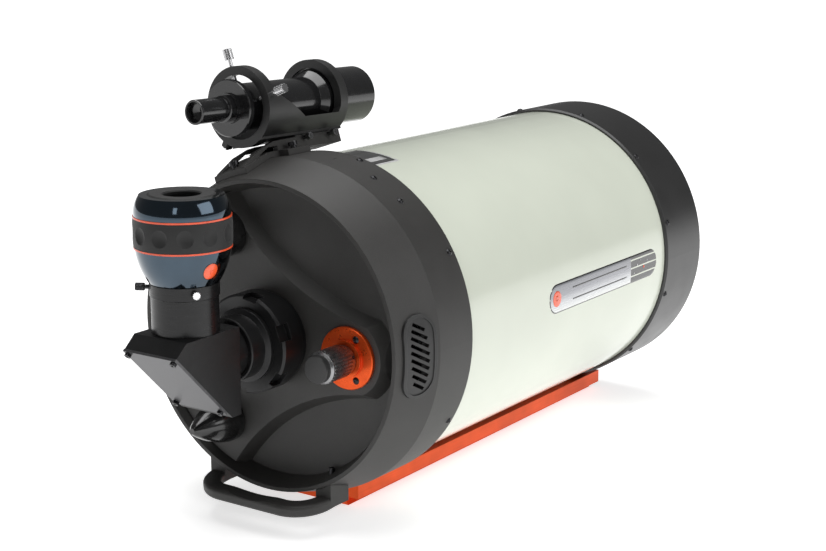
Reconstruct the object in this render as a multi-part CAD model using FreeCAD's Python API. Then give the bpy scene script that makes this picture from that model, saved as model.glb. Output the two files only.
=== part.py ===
"""Schmidt-Cassegrain telescope: optical tube, diagonal, eyepiece, finder and dovetail bar.

Row frame: millimetres, +Z up, +Y from the eyepiece end towards the sky, +X to the right of an
observer behind the telescope.  The origin is the centre of the dovetail bar's bottom face.
"""
import FreeCAD, Part
import math
import os

os.makedirs("parts", exist_ok=True)
Vector = FreeCAD.Vector

# ---------------------------------------------------------------- driving dimensions
# Fits
STATIC_GAP = 0.1          # radial gap of a bonded or screwed fit within one body
RUNNING_GAP = 0.05        # radial clearance of a shaft that turns or slides
FREE_GAP = 0.3            # gap between curved faces of different bodies

# Dovetail bar
BAR_WIDTH = 100.0
BAR_SIDE_HEIGHT = 14.7
BAR_NECK_WIDTH = 64.0
BAR_NECK_DEPTH = 8.8
BAR_BASE_WIDTH = 75.0
BAR_REAR_OVERHANG = 27.5  # bar behind the rear seam
BAR_FRONT_OVERHANG = 52.5 # bar beyond the front seam
BAR_BOLT_SEAT = 6.0
CELL_RISE = 20.0          # rear cell's underside above the bar's bottom face
SADDLE_WIDTH = 60.0
SADDLE_BOLT_INSET = 12.0  # bolts beyond each seam
SADDLE_FIT = 0.05         # air between a saddle or foot and the cell it seats on

# Tube and cells
TUBE_RADIUS = 159.4
TUBE_WALL = 2.0
TUBE_VISIBLE = 421.0
CELL_OVERLAP = 25.0       # how far the tube runs into each cell
REAR_CELL_STEP = 6.6      # rear cell's outside beyond the tube's
REAR_CELL_STRAIGHT = 55.0
REAR_CELL_LENGTH = 107.5
REAR_TAPER = 13.7         # rim's radius below the cell's
REAR_RIM_WIDTH = 4.0
REAR_FLOOR_DEPTH = 22.0   # recess from the rim crest to the floor between the lobes
REAR_WALL = 7.0
LOBE_HEIGHT = 14.5
LOBE_ANGLE = -4.0
STATIONS = ((94.0, LOBE_ANGLE), (107.0, 117.0), (107.0, 239.0))   # focuser, then both clutches
LOBE_TIP_RADIUS = 130.0
LOBE_SHOULDER_RADIUS = 117.0
LOBE_SHOULDER_ANGLE = 16.0
ARM_END_INSET = 9.3       # clutch arms' ends inside the rim
UPPER_ARM_ANGLES = (112.0, 139.0)
LOWER_ARM_ANGLES = (213.0, 251.0)
WAISTS = ((63.0, 62.0), (64.0, 176.0), (71.0, 298.0))   # radius and angle of each hollow
LOBE_FLARE = 8.0
FRONT_CELL_STEP = 4.0     # front cell's outside beyond the tube's
FRONT_CELL_LENGTH = 89.0
FRONT_LIP = 8.0           # front cell's lip beyond the retaining ring
FRONT_CHAMFER = 2.0
FRONT_MOUTH_FLARE = 3.0
FRONT_WALL = 7.0          # behind the corrector's seat
CORRECTOR_SEAT_GAP = 0.5

# Optics
APERTURE = 280.0
CORRECTOR_MARGIN = 5.0    # corrector plate beyond the clear aperture
CORRECTOR_THICKNESS = 5.0
CORRECTOR_RING_THICKNESS = 3.0
CORRECTOR_RING_WIDTH = 14.0
PRIMARY_MARGIN = 2.5      # primary mirror beyond the clear aperture
PRIMARY_THICKNESS = 30.0
PRIMARY_CURVE_RADIUS = 1118.0
MIRROR_BACK = -57.0       # primary mirror's back face from the tube seam
MIRROR_TRAVEL = 7.0       # each way, for focusing
SECONDARY_RADIUS = 38.0
SECONDARY_HOLDER_RADIUS = 44.0
SECONDARY_FLANGE_RADIUS = 47.5
BAFFLE_RADIUS = 27.0
BAFFLE_WALL = 1.8
BAFFLE_REACH = 250.0

# Focuser and clutches
FLANGE_SCREW_MARGIN = 7.5 # flange beyond its screws
FLANGE_THICKNESS = 4.0
FLANGE_CHAMFER = 0.8
FLANGE_HUB_STEP = 2.5     # hub beyond the knob
FLANGE_HUB_HEIGHT = 3.0
FLANGE_SCREW_STEP = 4.5   # screws beyond the hub
KNOB_RADIUS = 15.5
KNOB_LENGTH = 42.0
KNOB_GROOVES = 28
FOCUS_ROD_RADIUS = 4.0
CLUTCH_BASE_RADIUS = 22.5
CLUTCH_LENGTH = 52.0
CLUTCH_SKIRT = 8.0
CLUTCH_NOSE = 6.0         # radius of the blunt tip
CLUTCH_CHEEK = 3.6        # how far the tip is bevelled along its axis
CLUTCH_WAIST = 0.72       # share of the base radius half way along the dome
KNOB_GAP = 1.0            # between a knob and the face behind it

# Visual back and diagonal
VISUAL_RING_STEP_OUT = 21.0   # visual ring beyond the baffle tube
VISUAL_RING_LENGTH = 37.0
VISUAL_RING_NOTCHES = 6
VISUAL_RING_CHAMFER = 2.0
VISUAL_RING_BORE_GAP = 3.0
VISUAL_RING_GROOVE = 6.0  # length of the thinner neck against the cell
VISUAL_RING_STEP = 4.0
NOTCH_FIRST_ANGLE = 21.0
NOTCH_WIDTH = 16.0
NOTCH_LENGTH = 12.0
NOTCH_DEPTH = 5.0
STEP_RING_INSET = 12.7    # step ring inside the visual ring
STEP_RING_LENGTH = 5.0
BARREL_RADIUS = 25.4      # two-inch fitting
VISUAL_BACK_WALL = 5.1
VISUAL_BACK_LENGTH = 20.0
DIAGONAL_FACE = -180.0    # diagonal's front face from the tube seam
DIAGONAL_SIDE_STEP = 0.65 # housing's side beyond the eyepiece holder
DIAGONAL_FRONT_STEP = 6.0 # front face beyond the housing's half width
DIAGONAL_DROP = 20.5      # housing's underside below its half width
BARREL_LEDGE = 1.9        # light path inside a barrel's outside
NOSE_ENGAGEMENT = 19.0    # nose inside the visual back
NOSE_WALL = 2.4
NOSE_COLLAR_WIDTH = 1.6
NOSE_COLLAR_LENGTH = 7.0
COVER_THICKNESS = 2.5
COVER_MARGIN = 8.5        # cover plate beyond the mirror, each end
MIRROR_PLATE_THICKNESS = 8.0

# Eyepiece and its holder
HOLDER_WALL = 4.95
HOLDER_HEIGHT = 46.0
HOLDER_HEAD_STEP = 1.05
HOLDER_HEAD_HEIGHT = 13.0
EYEPIECE_FOOT_STEP = 0.6  # shell's foot beyond the holder's head
CORE_STEP = 8.6           # core tube beyond the barrel
GRIP_THICKNESS = 9.6
GRIP_DIMPLES = 12
BODY_HEIGHT = 31.0
BAND_HEIGHT = 1.6
GRIP_HEIGHT = 26.0
TWIST_HEIGHT = 18.0
EYE_TOP_INSET = 7.1       # eyepiece's top inside the grip
EYE_OPENING_RADIUS = 17.0

# Finder
FINDER_SHOE_HEIGHT = 15.0 # bracket's underside above the rear cell
FINDER_ANGLE = 18.6       # to the left of the vertical
FINDER_PITCH = -1.5       # finder and its bracket lean forward by this angle
FINDER_TUBE_RADIUS = 23.0
FINDER_WALL = 2.0
FINDER_CELL_STEP = 6.3    # objective cell, collar, rear plate and rings beyond the tube
FINDER_COLLAR_STEP = 5.8
FINDER_PLATE_STEP = 5.0
FINDER_RING_STEP = 8.5
FINDER_RING_WALL = 8.5
FINDER_EYEPIECE_RADIUS = 12.0
FINDER_FRONT = 129.0      # from the tube seam
FINDER_PLATE_Y = -71.0
FINDER_REAR = -119.5
FINDER_RING_WIDTH = 12.0
REAR_RING_Y = -56.0
FRONT_RING_Y = 56.0
SCREW_TIP_GAP = 2.0       # alignment screw tips stand off the tube for its tilt
SPINE_HALF_WIDTH = 20.0
SPINE_RISE = 3.0          # spine's flat underside above the rings' lowest point
SILL_RISE = 1.0           # side windows' lower edge above the finder tube's underside
SHOE_HALF_WIDTH = 18.0
SHOE_HEEL_HALF_WIDTH = 21.0
SHOE_TOE_HALF_WIDTH = 33.0
SHOE_BLOCK_Y = (-4.0, 66.0)
SHOE_BLOCK_GAP = 2.0      # between the shoe's block and the rear cell
RAIL_HEIGHT = 7.0
RAIL_HALF_WIDTH = 9.0

# Handle
HANDLE_HALF_WIDTH = 75.0
HANDLE_CORNER = 38.0      # outer corner radius
HANDLE_BAR_WIDTH = 18.0
HANDLE_THICKNESS = 12.0
HANDLE_REAR = -141.0      # from the tube seam
HANDLE_FRONT = -77.0
HANDLE_RISE = 15.0        # middle plane of the handle's front end above the cell's underside
HANDLE_TILT = 5.0         # its rear hangs lower
HANDLE_ROUNDING = 4.0

# Vents
VENT_LENGTH = 80.0
VENT_WIDTH = 38.0
VENT_Y = -80.0
VENT_SLOTS = 9
VENT_RIM = 3.0
VENT_RIM_HEIGHT = 2.4
VENT_PANEL_HEIGHT = 1.4
VENT_PITCH = 7.0
VENT_SLOT_WIDTH = 3.2
VENT_SLOT_TILT = 29.0     # slots rise towards the rear
VENT_SLOT_MARGIN = 5.0
VENT_REACH = 20.0         # the vent's cutting prism starts this far inside the rim's radius

# ---------------------------------------------------------------- derived sizes
BAR_LENGTH = BAR_REAR_OVERHANG + TUBE_VISIBLE + BAR_FRONT_OVERHANG
REAR_CELL_RADIUS = TUBE_RADIUS + REAR_CELL_STEP
FRONT_CELL_RADIUS = TUBE_RADIUS + FRONT_CELL_STEP
REAR_RIM_RADIUS = REAR_CELL_RADIUS - REAR_TAPER
ARM_END_RADIUS = REAR_RIM_RADIUS - ARM_END_INSET
AXIS_HEIGHT = REAR_CELL_RADIUS + CELL_RISE        # optical axis above the bar's bottom face
CORRECTOR_RADIUS = APERTURE / 2 + CORRECTOR_MARGIN
PRIMARY_RADIUS = APERTURE / 2 + PRIMARY_MARGIN
FLANGE_HUB_RADIUS = KNOB_RADIUS + FLANGE_HUB_STEP
FLANGE_SCREW_PITCH_RADIUS = FLANGE_HUB_RADIUS + FLANGE_SCREW_STEP
FLANGE_RADIUS = FLANGE_SCREW_PITCH_RADIUS + FLANGE_SCREW_MARGIN
VISUAL_RING_RADIUS = BAFFLE_RADIUS + VISUAL_RING_STEP_OUT
STEP_RING_RADIUS = VISUAL_RING_RADIUS - STEP_RING_INSET
VISUAL_BACK_RADIUS = BARREL_RADIUS + VISUAL_BACK_WALL
LIGHT_RADIUS = BARREL_RADIUS - BARREL_LEDGE
HOLDER_RADIUS = BARREL_RADIUS + HOLDER_WALL
HOLDER_HEAD_RADIUS = HOLDER_RADIUS + HOLDER_HEAD_STEP
DIAGONAL_HALF_WIDTH = HOLDER_RADIUS + DIAGONAL_SIDE_STEP
DIAGONAL_DEPTH = DIAGONAL_HALF_WIDTH + DIAGONAL_FRONT_STEP
DIAGONAL_TOP = DIAGONAL_HALF_WIDTH
DIAGONAL_BOTTOM = -DIAGONAL_HALF_WIDTH - DIAGONAL_DROP
EYEPIECE_FOOT_RADIUS = HOLDER_HEAD_RADIUS + EYEPIECE_FOOT_STEP
CORE_RADIUS = BARREL_RADIUS + CORE_STEP
GRIP_RADIUS = CORE_RADIUS + GRIP_THICKNESS
EYE_TOP_RADIUS = GRIP_RADIUS - EYE_TOP_INSET
FINDER_CELL_RADIUS = FINDER_TUBE_RADIUS + FINDER_CELL_STEP
FINDER_COLLAR_RADIUS = FINDER_TUBE_RADIUS + FINDER_COLLAR_STEP
FINDER_PLATE_RADIUS = FINDER_TUBE_RADIUS + FINDER_PLATE_STEP
FINDER_RING_INNER = FINDER_TUBE_RADIUS + FINDER_RING_STEP
FINDER_RING_OUTER = FINDER_RING_INNER + FINDER_RING_WALL
SPINE_BOTTOM = FINDER_RING_OUTER - SPINE_RISE     # below the finder's axis
WINDOW_SILL = FINDER_TUBE_RADIUS - SILL_RISE      # below the finder's axis
FINDER_RADIUS_FROM_AXIS = REAR_CELL_RADIUS + FINDER_SHOE_HEIGHT + SPINE_BOTTOM
SHOE_BLOCK_RADIUS = REAR_CELL_RADIUS + SHOE_BLOCK_GAP
HANDLE_DROP = REAR_CELL_RADIUS - HANDLE_RISE      # middle plane below the optical axis

# ---------------------------------------------------------------- derived places
SEAM = -BAR_LENGTH / 2 + BAR_REAR_OVERHANG        # rear cell's front edge
REAR_RIM = SEAM - REAR_CELL_LENGTH
REAR_FLOOR = REAR_RIM + REAR_FLOOR_DEPTH
LOBE_FACE = REAR_FLOOR - LOBE_HEIGHT
CAVITY_BACK = REAR_FLOOR + REAR_WALL
FRONT_SEAM = SEAM + TUBE_VISIBLE
FRONT_EDGE = FRONT_SEAM + FRONT_CELL_LENGTH
CORRECTOR_RING_FRONT = FRONT_EDGE - FRONT_LIP
CORRECTOR_FRONT = CORRECTOR_RING_FRONT - CORRECTOR_RING_THICKNESS
CORRECTOR_BACK = CORRECTOR_FRONT - CORRECTOR_THICKNESS
CELL_BORE = TUBE_RADIUS + STATIC_GAP
EYEPIECE_Y = SEAM + DIAGONAL_FACE - DIAGONAL_DEPTH
VISUAL_RING_REAR = LOBE_FACE - VISUAL_RING_LENGTH
STEP_RING_REAR = VISUAL_RING_REAR - STEP_RING_LENGTH
VISUAL_BACK_REAR = STEP_RING_REAR - VISUAL_BACK_LENGTH
BARREL_BORE = BARREL_RADIUS + RUNNING_GAP


# ---------------------------------------------------------------- geometry helpers
def rod_y(radius, y0, y1, x=0.0, z=AXIS_HEIGHT):
    """Cylinder along Y between y0 and y1."""
    low = min(y0, y1)
    return Part.makeCylinder(radius, abs(y1 - y0), Vector(x, low, z), Vector(0, 1, 0))


def ring_y(outer, inner, y0, y1, x=0.0, z=AXIS_HEIGHT):
    """Ring along Y between y0 and y1."""
    return rod_y(outer, y0, y1, x, z).cut(rod_y(inner, y0 - 1, y1 + 1, x, z) if y0 < y1
                                          else rod_y(inner, y1 - 1, y0 + 1, x, z))


def rod(start, direction, radius, length):
    """Cylinder from a start point along any direction."""
    return Part.makeCylinder(radius, length, start, direction)


def rod_z(radius, z0, z1, x=0.0, y=0.0):
    """Cylinder along Z between z0 and z1."""
    return Part.makeCylinder(radius, z1 - z0, Vector(x, y, z0), Vector(0, 0, 1))


def box(x0, x1, y0, y1, z0, z1):
    """Box between two corners."""
    return Part.makeBox(x1 - x0, y1 - y0, z1 - z0, Vector(x0, y0, z0))


def turned_y(outline, x=0.0, z=AXIS_HEIGHT):
    """Solid turned about a line along Y from (radius, y) points."""
    points = [Vector(x + radius, y, z) for radius, y in outline]
    face = Part.Face(Part.makePolygon(points + [points[0]]))
    return face.revolve(Vector(x, 0, z), Vector(0, 1, 0), 360)


def turned_z(outline, x=0.0, y=0.0):
    """Solid turned about a vertical line from (radius, z) points."""
    points = [Vector(x + radius, y, z) for radius, z in outline]
    face = Part.Face(Part.makePolygon(points + [points[0]]))
    return face.revolve(Vector(x, y, 0), Vector(0, 0, 1), 360)


def polar(radius, degrees, y):
    """Point at an angle about the optical axis; 0 is +X and 90 is up."""
    angle = math.radians(degrees)
    return Vector(radius * math.cos(angle), y, AXIS_HEIGHT + radius * math.sin(angle))


def radial(degrees):
    """Outward direction at an angle about the optical axis."""
    return polar(1, degrees, 0) - polar(0, degrees, 0)


def about_axis(shape, degrees):
    """Copy of a shape turned about the optical axis; positive lifts +X towards +Z."""
    turned = shape.copy()
    turned.rotate(Vector(0, 0, AXIS_HEIGHT), Vector(0, 1, 0), -degrees)
    return turned


def cut_all(shape, tools):
    """Cut every tool out of a shape."""
    for tool in tools:
        shape = shape.cut(tool)
    return shape


def group(shapes):
    """Separate solids kept together in one node."""
    return Part.makeCompound(shapes)


def socket_screw(seat, direction, shank_radius, shank_length, head_radius, head_height):
    """Cap screw: the head stands on its seat along direction, the shank goes the other way."""
    head = rod(seat, direction, head_radius, head_height)
    shank = rod(seat, direction * -1, shank_radius, shank_length)
    socket = rod(seat + direction * (head_height * 0.4), direction, head_radius * 0.5, head_height)
    return head.cut(socket).fuse(shank)


def pan_screw(seat, direction, shank_radius, shank_length, head_radius, head_height):
    """Domed screw with a blind recess."""
    sphere_radius = (head_radius ** 2 + head_height ** 2) / (2 * head_height)
    centre = seat - direction * (sphere_radius - head_height)
    dome = Part.makeSphere(sphere_radius, centre).common(rod(seat, direction, head_radius, head_height))
    recess = rod(seat + direction * (head_height * 0.45), direction, head_radius * 0.35, head_height)
    return dome.cut(recess).fuse(rod(seat, direction * -1, shank_radius, shank_length))


def fluted_knob(start, direction, radius, length, grooves, groove_radius):
    """Round knob with grooves along its side."""
    knob = rod(start, direction, radius, length)
    side = direction.cross(Vector(0.3, 0.7, 0.2)).normalize()
    tools = []
    for index in range(grooves):
        groove = rod(start + side * radius - direction, direction, groove_radius, length + 2)
        groove.rotate(start, direction, 360.0 * index / grooves)
        tools.append(groove)
    return cut_all(knob, tools)


# ---------------------------------------------------------------- rear cell and what it carries
def lobed_outline(growth, y):
    """Wire of arcs around the focuser's lobe and the two clutch arms; growth offsets it outwards."""
    reach = ARM_END_RADIUS + min(growth, 1)
    spread = math.degrees(growth / ARM_END_RADIUS)
    shoulder = LOBE_SHOULDER_RADIUS + growth
    shoulder_spread = LOBE_SHOULDER_ANGLE + math.degrees(growth / shoulder) / 2
    upper = polar(shoulder, LOBE_ANGLE + shoulder_spread, y)
    lower = polar(shoulder, LOBE_ANGLE - shoulder_spread, y)
    hollows = [polar(radius + growth, angle, y) for radius, angle in WAISTS]
    arm_ends = []
    for first, last in (UPPER_ARM_ANGLES, LOWER_ARM_ANGLES):
        arm_ends.append([polar(reach, first - spread, y), polar(reach, (first + last) / 2, y),
                         polar(reach, last + spread, y)])
    arcs = [(lower, polar(LOBE_TIP_RADIUS + growth, LOBE_ANGLE, y), upper),
            (upper, hollows[0], arm_ends[0][0]), arm_ends[0],
            (arm_ends[0][2], hollows[1], arm_ends[1][0]), arm_ends[1],
            (arm_ends[1][2], hollows[2], lower)]
    return Part.Wire([Part.Arc(*points).toShape() for points in arcs])


def station(index, y):
    """Centre of the focuser (0) or of a clutch (1, 2)."""
    radius, angle = STATIONS[index]
    return polar(radius, angle, y)


def cell_outline(offset):
    """Rear cell's outer outline, moved outwards by an offset."""
    return [(REAR_RIM_RADIUS + offset, REAR_RIM),
            (REAR_CELL_RADIUS + offset, SEAM - REAR_CELL_STRAIGHT),
            (REAR_CELL_RADIUS + offset, SEAM)]


def cell_skin(low, high, y0, y1):
    """Shell between two offsets of the rear cell's outer face."""
    outer = turned_y([(0, REAR_RIM)] + cell_outline(high) + [(0, SEAM)])
    inner = turned_y([(0, REAR_RIM)] + cell_outline(low) + [(0, SEAM)])
    size = REAR_CELL_RADIUS + high + 1
    slab = box(-size, size, y0, y1, AXIS_HEIGHT - size, AXIS_HEIGHT + size)
    return outer.cut(inner).common(slab)


def cell_radius(y):
    """Outer radius of the rear cell at a place along its axis."""
    if y > SEAM - REAR_CELL_STRAIGHT:
        return REAR_CELL_RADIUS
    share = (y - REAR_RIM) / (REAR_CELL_LENGTH - REAR_CELL_STRAIGHT)
    return REAR_RIM_RADIUS + share * (REAR_CELL_RADIUS - REAR_RIM_RADIUS)


def vent_prism(side, margin):
    """Upright oval prism through one side of the rear cell."""
    radius = VENT_WIDTH / 2 + margin
    half = (VENT_LENGTH - VENT_WIDTH) / 2
    y = SEAM + VENT_Y
    start = REAR_RIM_RADIUS - VENT_REACH
    length = REAR_CELL_RADIUS + VENT_REACH - start
    x0 = start if side > 0 else -start - length
    ends = [Part.makeCylinder(radius, length, Vector(x0, y, AXIS_HEIGHT + half * end), Vector(1, 0, 0))
            for end in (-1, 1)]
    middle = box(x0, x0 + length, y - radius, y + radius, AXIS_HEIGHT - half, AXIS_HEIGHT + half)
    return ends[0].fuse(ends[1]).fuse(middle)


LIP_SLOPE = 7.0           # how far the recess floor stands in from the rim's crest
CAVITY_GAP = 6.0          # around the primary mirror
CAVITY_FLARE = 11.0
POCKET_HUB_WALL = 12.0
FLANGE_SCREW_DEPTH = 4.0
SMALL_SCREW_SHANK = 1.5
SMALL_SCREW_LENGTH = 5.0
SMALL_SCREW_HEAD = 3.6
SMALL_SCREW_HEIGHT = 2.0
REAR_SCREW_ANGLES = (-30, 30, 76, 145, 210)
ACCESSORY_SCREW_ANGLES = (52, 64.5, 81)
REAR_SCREW_Y = -7.5       # from the seam
ACCESSORY_SCREW_Y = -28.0
FRONT_SCREW_COUNT = 12
FRONT_SCREW_Y = 8.0       # from the front seam


def rear_screw_seats():
    """Places and outward directions of the rear cell's tube screws."""
    rows = ((REAR_SCREW_ANGLES, REAR_SCREW_Y), (ACCESSORY_SCREW_ANGLES, ACCESSORY_SCREW_Y))
    for angles, y in rows:
        for angle in angles:
            yield polar(REAR_CELL_RADIUS, angle, SEAM + y), radial(angle)


def front_screw_seats():
    """Places and outward directions of the front cell's tube screws."""
    for index in range(FRONT_SCREW_COUNT):
        angle = 15 + 360.0 * index / FRONT_SCREW_COUNT
        yield polar(FRONT_CELL_RADIUS, angle, FRONT_SEAM + FRONT_SCREW_Y), radial(angle)


def flange_screw_seats():
    """Places of the focuser flange's three screws."""
    y = LOBE_FACE - FLANGE_THICKNESS
    for index in range(3):
        angle = math.radians(60 + 120 * index)
        offset = Vector(math.cos(angle), 0, math.sin(angle)) * FLANGE_SCREW_PITCH_RADIUS
        yield station(0, y) + offset


def small_screws():
    """All of the small domed screws that hold the cells and the focuser flange."""
    sizes = (SMALL_SCREW_SHANK, SMALL_SCREW_LENGTH, SMALL_SCREW_HEAD, SMALL_SCREW_HEIGHT)
    screws = [pan_screw(seat, out, *sizes) for seat, out in rear_screw_seats()]
    screws += [pan_screw(seat, out, *sizes) for seat, out in front_screw_seats()]
    screws += [pan_screw(seat, Vector(0, -1, 0), *sizes) for seat in flange_screw_seats()]
    return group(screws)


def screw_holes(seats):
    """Clearance holes for the small screws, as cutting tools."""
    radius = SMALL_SCREW_SHANK + STATIC_GAP
    return [rod(seat + out, out * -1, radius, SMALL_SCREW_LENGTH + 2) for seat, out in seats]


def rear_cell():
    """Cast rear cell with its raised three-lobed mounting face."""
    rim_inner = REAR_RIM_RADIUS - REAR_RIM_WIDTH
    body = turned_y([(0, REAR_FLOOR), (rim_inner - LIP_SLOPE, REAR_FLOOR), (rim_inner, REAR_RIM)]
                    + cell_outline(0) + [(0, SEAM)])
    foot = lobed_outline(LOBE_FLARE, REAR_FLOOR + 0.5)   # sunk a little so that the pieces join
    crown = lobed_outline(0, LOBE_FACE)
    body = body.fuse(Part.makeLoft([foot, crown], True, True))
    flared = PRIMARY_RADIUS + CAVITY_FLARE
    cavity = turned_y([(0, CAVITY_BACK), (PRIMARY_RADIUS + CAVITY_GAP, CAVITY_BACK),
                       (flared, SEAM - REAR_CELL_STRAIGHT),
                       (flared, SEAM - CELL_OVERLAP), (CELL_BORE, SEAM - CELL_OVERLAP),
                       (CELL_BORE, SEAM + 1), (0, SEAM + 1)])
    body = body.cut(cavity)
    pocket_outline = Part.Face(lobed_outline(-REAR_WALL, LOBE_FACE + REAR_WALL))
    pocket = pocket_outline.extrude(Vector(0, CAVITY_BACK - LOBE_FACE - REAR_WALL + 1, 0))
    body = body.cut(pocket.cut(rod_y(BAFFLE_RADIUS + POCKET_HUB_WALL, LOBE_FACE, CAVITY_BACK + 2)))
    tools = [rod_y(BAFFLE_RADIUS + STATIC_GAP, LOBE_FACE - 1, CAVITY_BACK + 2)]
    for index in range(3):
        seat = station(index, LOBE_FACE)
        tools.append(rod_y(FOCUS_ROD_RADIUS + FREE_GAP, LOBE_FACE - 1, CAVITY_BACK + 1, seat.x, seat.z))
    tools += [vent_prism(side, -VENT_RIM) for side in (-1, 1)]
    tools += screw_holes(rear_screw_seats())
    for seat in flange_screw_seats():
        tools.append(rod_y(SMALL_SCREW_SHANK + STATIC_GAP, LOBE_FACE - 1, LOBE_FACE + FLANGE_SCREW_DEPTH,
                           seat.x, seat.z))
    tools += handle_holes() + saddle_holes(SEAM - SADDLE_BOLT_INSET) + shoe_holes()
    return cut_all(body, tools)


def vent_slot(side, height):
    """Slanted slot of a vent, shorter towards the oval's ends."""
    span = math.sqrt(max((VENT_LENGTH / 2 - VENT_SLOT_MARGIN) ** 2 - height ** 2, 0)) / (VENT_LENGTH / 2)
    half = (VENT_WIDTH / 2 - VENT_SLOT_MARGIN) * max(span, 0.45)
    start = REAR_RIM_RADIUS - VENT_REACH
    end = REAR_CELL_RADIUS + VENT_REACH
    x0, x1 = (start, end) if side > 0 else (-end, -start)
    slot = box(x0, x1, -half, half, -VENT_SLOT_WIDTH / 2, VENT_SLOT_WIDTH / 2)
    slot.rotate(Vector(0, 0, 0), Vector(1, 0, 0), -VENT_SLOT_TILT)
    slot.translate(Vector(0, SEAM + VENT_Y, AXIS_HEIGHT + height))
    return slot


def vent_grille(side):
    """Oval louvred grille that lies on the rear cell's side."""
    rear = SEAM + VENT_Y - VENT_WIDTH / 2
    front = SEAM + VENT_Y + VENT_WIDTH / 2
    rim = cell_skin(SADDLE_FIT, VENT_RIM_HEIGHT, rear, front).common(vent_prism(side, 0))
    rim = rim.cut(vent_prism(side, -VENT_RIM - STATIC_GAP * 2))
    panel = cell_skin(-VENT_RIM, VENT_PANEL_HEIGHT, rear, front)
    panel = panel.common(vent_prism(side, -VENT_RIM - STATIC_GAP))
    slots = [vent_slot(side, (index - (VENT_SLOTS - 1) / 2) * VENT_PITCH) for index in range(VENT_SLOTS)]
    return cut_all(panel.fuse(rim), slots)


def ring_outer_radius():
    """Outside of the corrector's retaining ring."""
    return APERTURE / 2 + CORRECTOR_RING_WIDTH


def front_cell():
    """Front ring that carries the corrector plate."""
    seat = CORRECTOR_RADIUS + CORRECTOR_SEAT_GAP
    mouth = ring_outer_radius() + STATIC_GAP
    outside = FRONT_CELL_RADIUS
    chamfered = outside - FRONT_CHAMFER
    inside = CELL_BORE - FRONT_WALL
    web = CORRECTOR_BACK - FRONT_WALL
    outline = [(CELL_BORE, FRONT_SEAM), (chamfered, FRONT_SEAM), (outside, FRONT_SEAM + FRONT_CHAMFER),
               (outside, FRONT_EDGE - FRONT_CHAMFER), (chamfered, FRONT_EDGE),
               (mouth + FRONT_MOUTH_FLARE, FRONT_EDGE), (mouth, CORRECTOR_RING_FRONT),
               (mouth, CORRECTOR_FRONT), (seat, CORRECTOR_FRONT), (seat, CORRECTOR_BACK),
               (APERTURE / 2, CORRECTOR_BACK), (APERTURE / 2 + 2, web), (inside, web - 5),
               (inside, FRONT_SEAM + CELL_OVERLAP), (CELL_BORE, FRONT_SEAM + CELL_OVERLAP)]
    holes = screw_holes(front_screw_seats()) + corrector_screw_holes()
    return cut_all(turned_y(outline), holes + saddle_holes(FRONT_SEAM + SADDLE_BOLT_INSET))


def main_tube():
    """Rolled aluminium tube."""
    tube = ring_y(TUBE_RADIUS, TUBE_RADIUS - TUBE_WALL, SEAM - CELL_OVERLAP, FRONT_SEAM + CELL_OVERLAP)
    holes = screw_holes(rear_screw_seats()) + screw_holes(front_screw_seats())
    holes += saddle_holes(SEAM - SADDLE_BOLT_INSET) + saddle_holes(FRONT_SEAM + SADDLE_BOLT_INSET)
    return cut_all(tube, holes)


# ---------------------------------------------------------------- corrector and secondary
CORRECTOR_SCREWS = 8
CORRECTOR_SCREW_SHANK = 1.5
CORRECTOR_SCREW_LENGTH = 8.0
CORRECTOR_SCREW_HEAD = 3.0
CORRECTOR_SCREW_HEIGHT = 1.8
HOLDER_TUBE_WALL = 3.0    # secondary holder
HOLDER_TUBE_LENGTH = 60.0
HOLDER_FLANGE_HEIGHT = 6.0
NUT_WIDTH = 6.0
NUT_THICKNESS = 5.0
NUT_SLOT_WIDTH = 4.0


def corrector_screw_seats():
    """Places of the screws through the corrector's retaining ring."""
    pitch = (CORRECTOR_RADIUS + ring_outer_radius()) / 2
    for index in range(CORRECTOR_SCREWS):
        yield polar(pitch, 360.0 * (index + 0.5) / CORRECTOR_SCREWS, CORRECTOR_RING_FRONT)


def corrector_screw_holes():
    """Holes for the retaining ring's screws."""
    return [rod(seat + Vector(0, 1, 0), Vector(0, -1, 0), CORRECTOR_SCREW_SHANK + STATIC_GAP,
                CORRECTOR_SCREW_LENGTH + 2) for seat in corrector_screw_seats()]


def corrector_ring():
    """Ring that holds the corrector plate in the front cell."""
    ring = ring_y(ring_outer_radius(), APERTURE / 2, CORRECTOR_FRONT, CORRECTOR_RING_FRONT)
    return cut_all(ring, corrector_screw_holes())


def corrector_ring_screws():
    """Screws of the retaining ring."""
    return group([pan_screw(seat, Vector(0, 1, 0), CORRECTOR_SCREW_SHANK, CORRECTOR_SCREW_LENGTH,
                            CORRECTOR_SCREW_HEAD, CORRECTOR_SCREW_HEIGHT)
                  for seat in corrector_screw_seats()])


def corrector_plate():
    """Glass corrector plate with a central hole for the secondary holder."""
    return ring_y(CORRECTOR_RADIUS, SECONDARY_HOLDER_RADIUS + STATIC_GAP, CORRECTOR_BACK, CORRECTOR_FRONT)


def secondary_holder():
    """Tube through the corrector plate, with an outside flange and an inside baffle."""
    rear = CORRECTOR_FRONT - HOLDER_TUBE_LENGTH
    flange = CORRECTOR_FRONT + HOLDER_FLANGE_HEIGHT
    inner = SECONDARY_HOLDER_RADIUS - HOLDER_TUBE_WALL
    return turned_y([(inner, rear), (SECONDARY_HOLDER_RADIUS, rear),
                     (SECONDARY_HOLDER_RADIUS, CORRECTOR_FRONT), (SECONDARY_FLANGE_RADIUS, CORRECTOR_FRONT),
                     (SECONDARY_FLANGE_RADIUS, flange), (inner, flange)])


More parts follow.
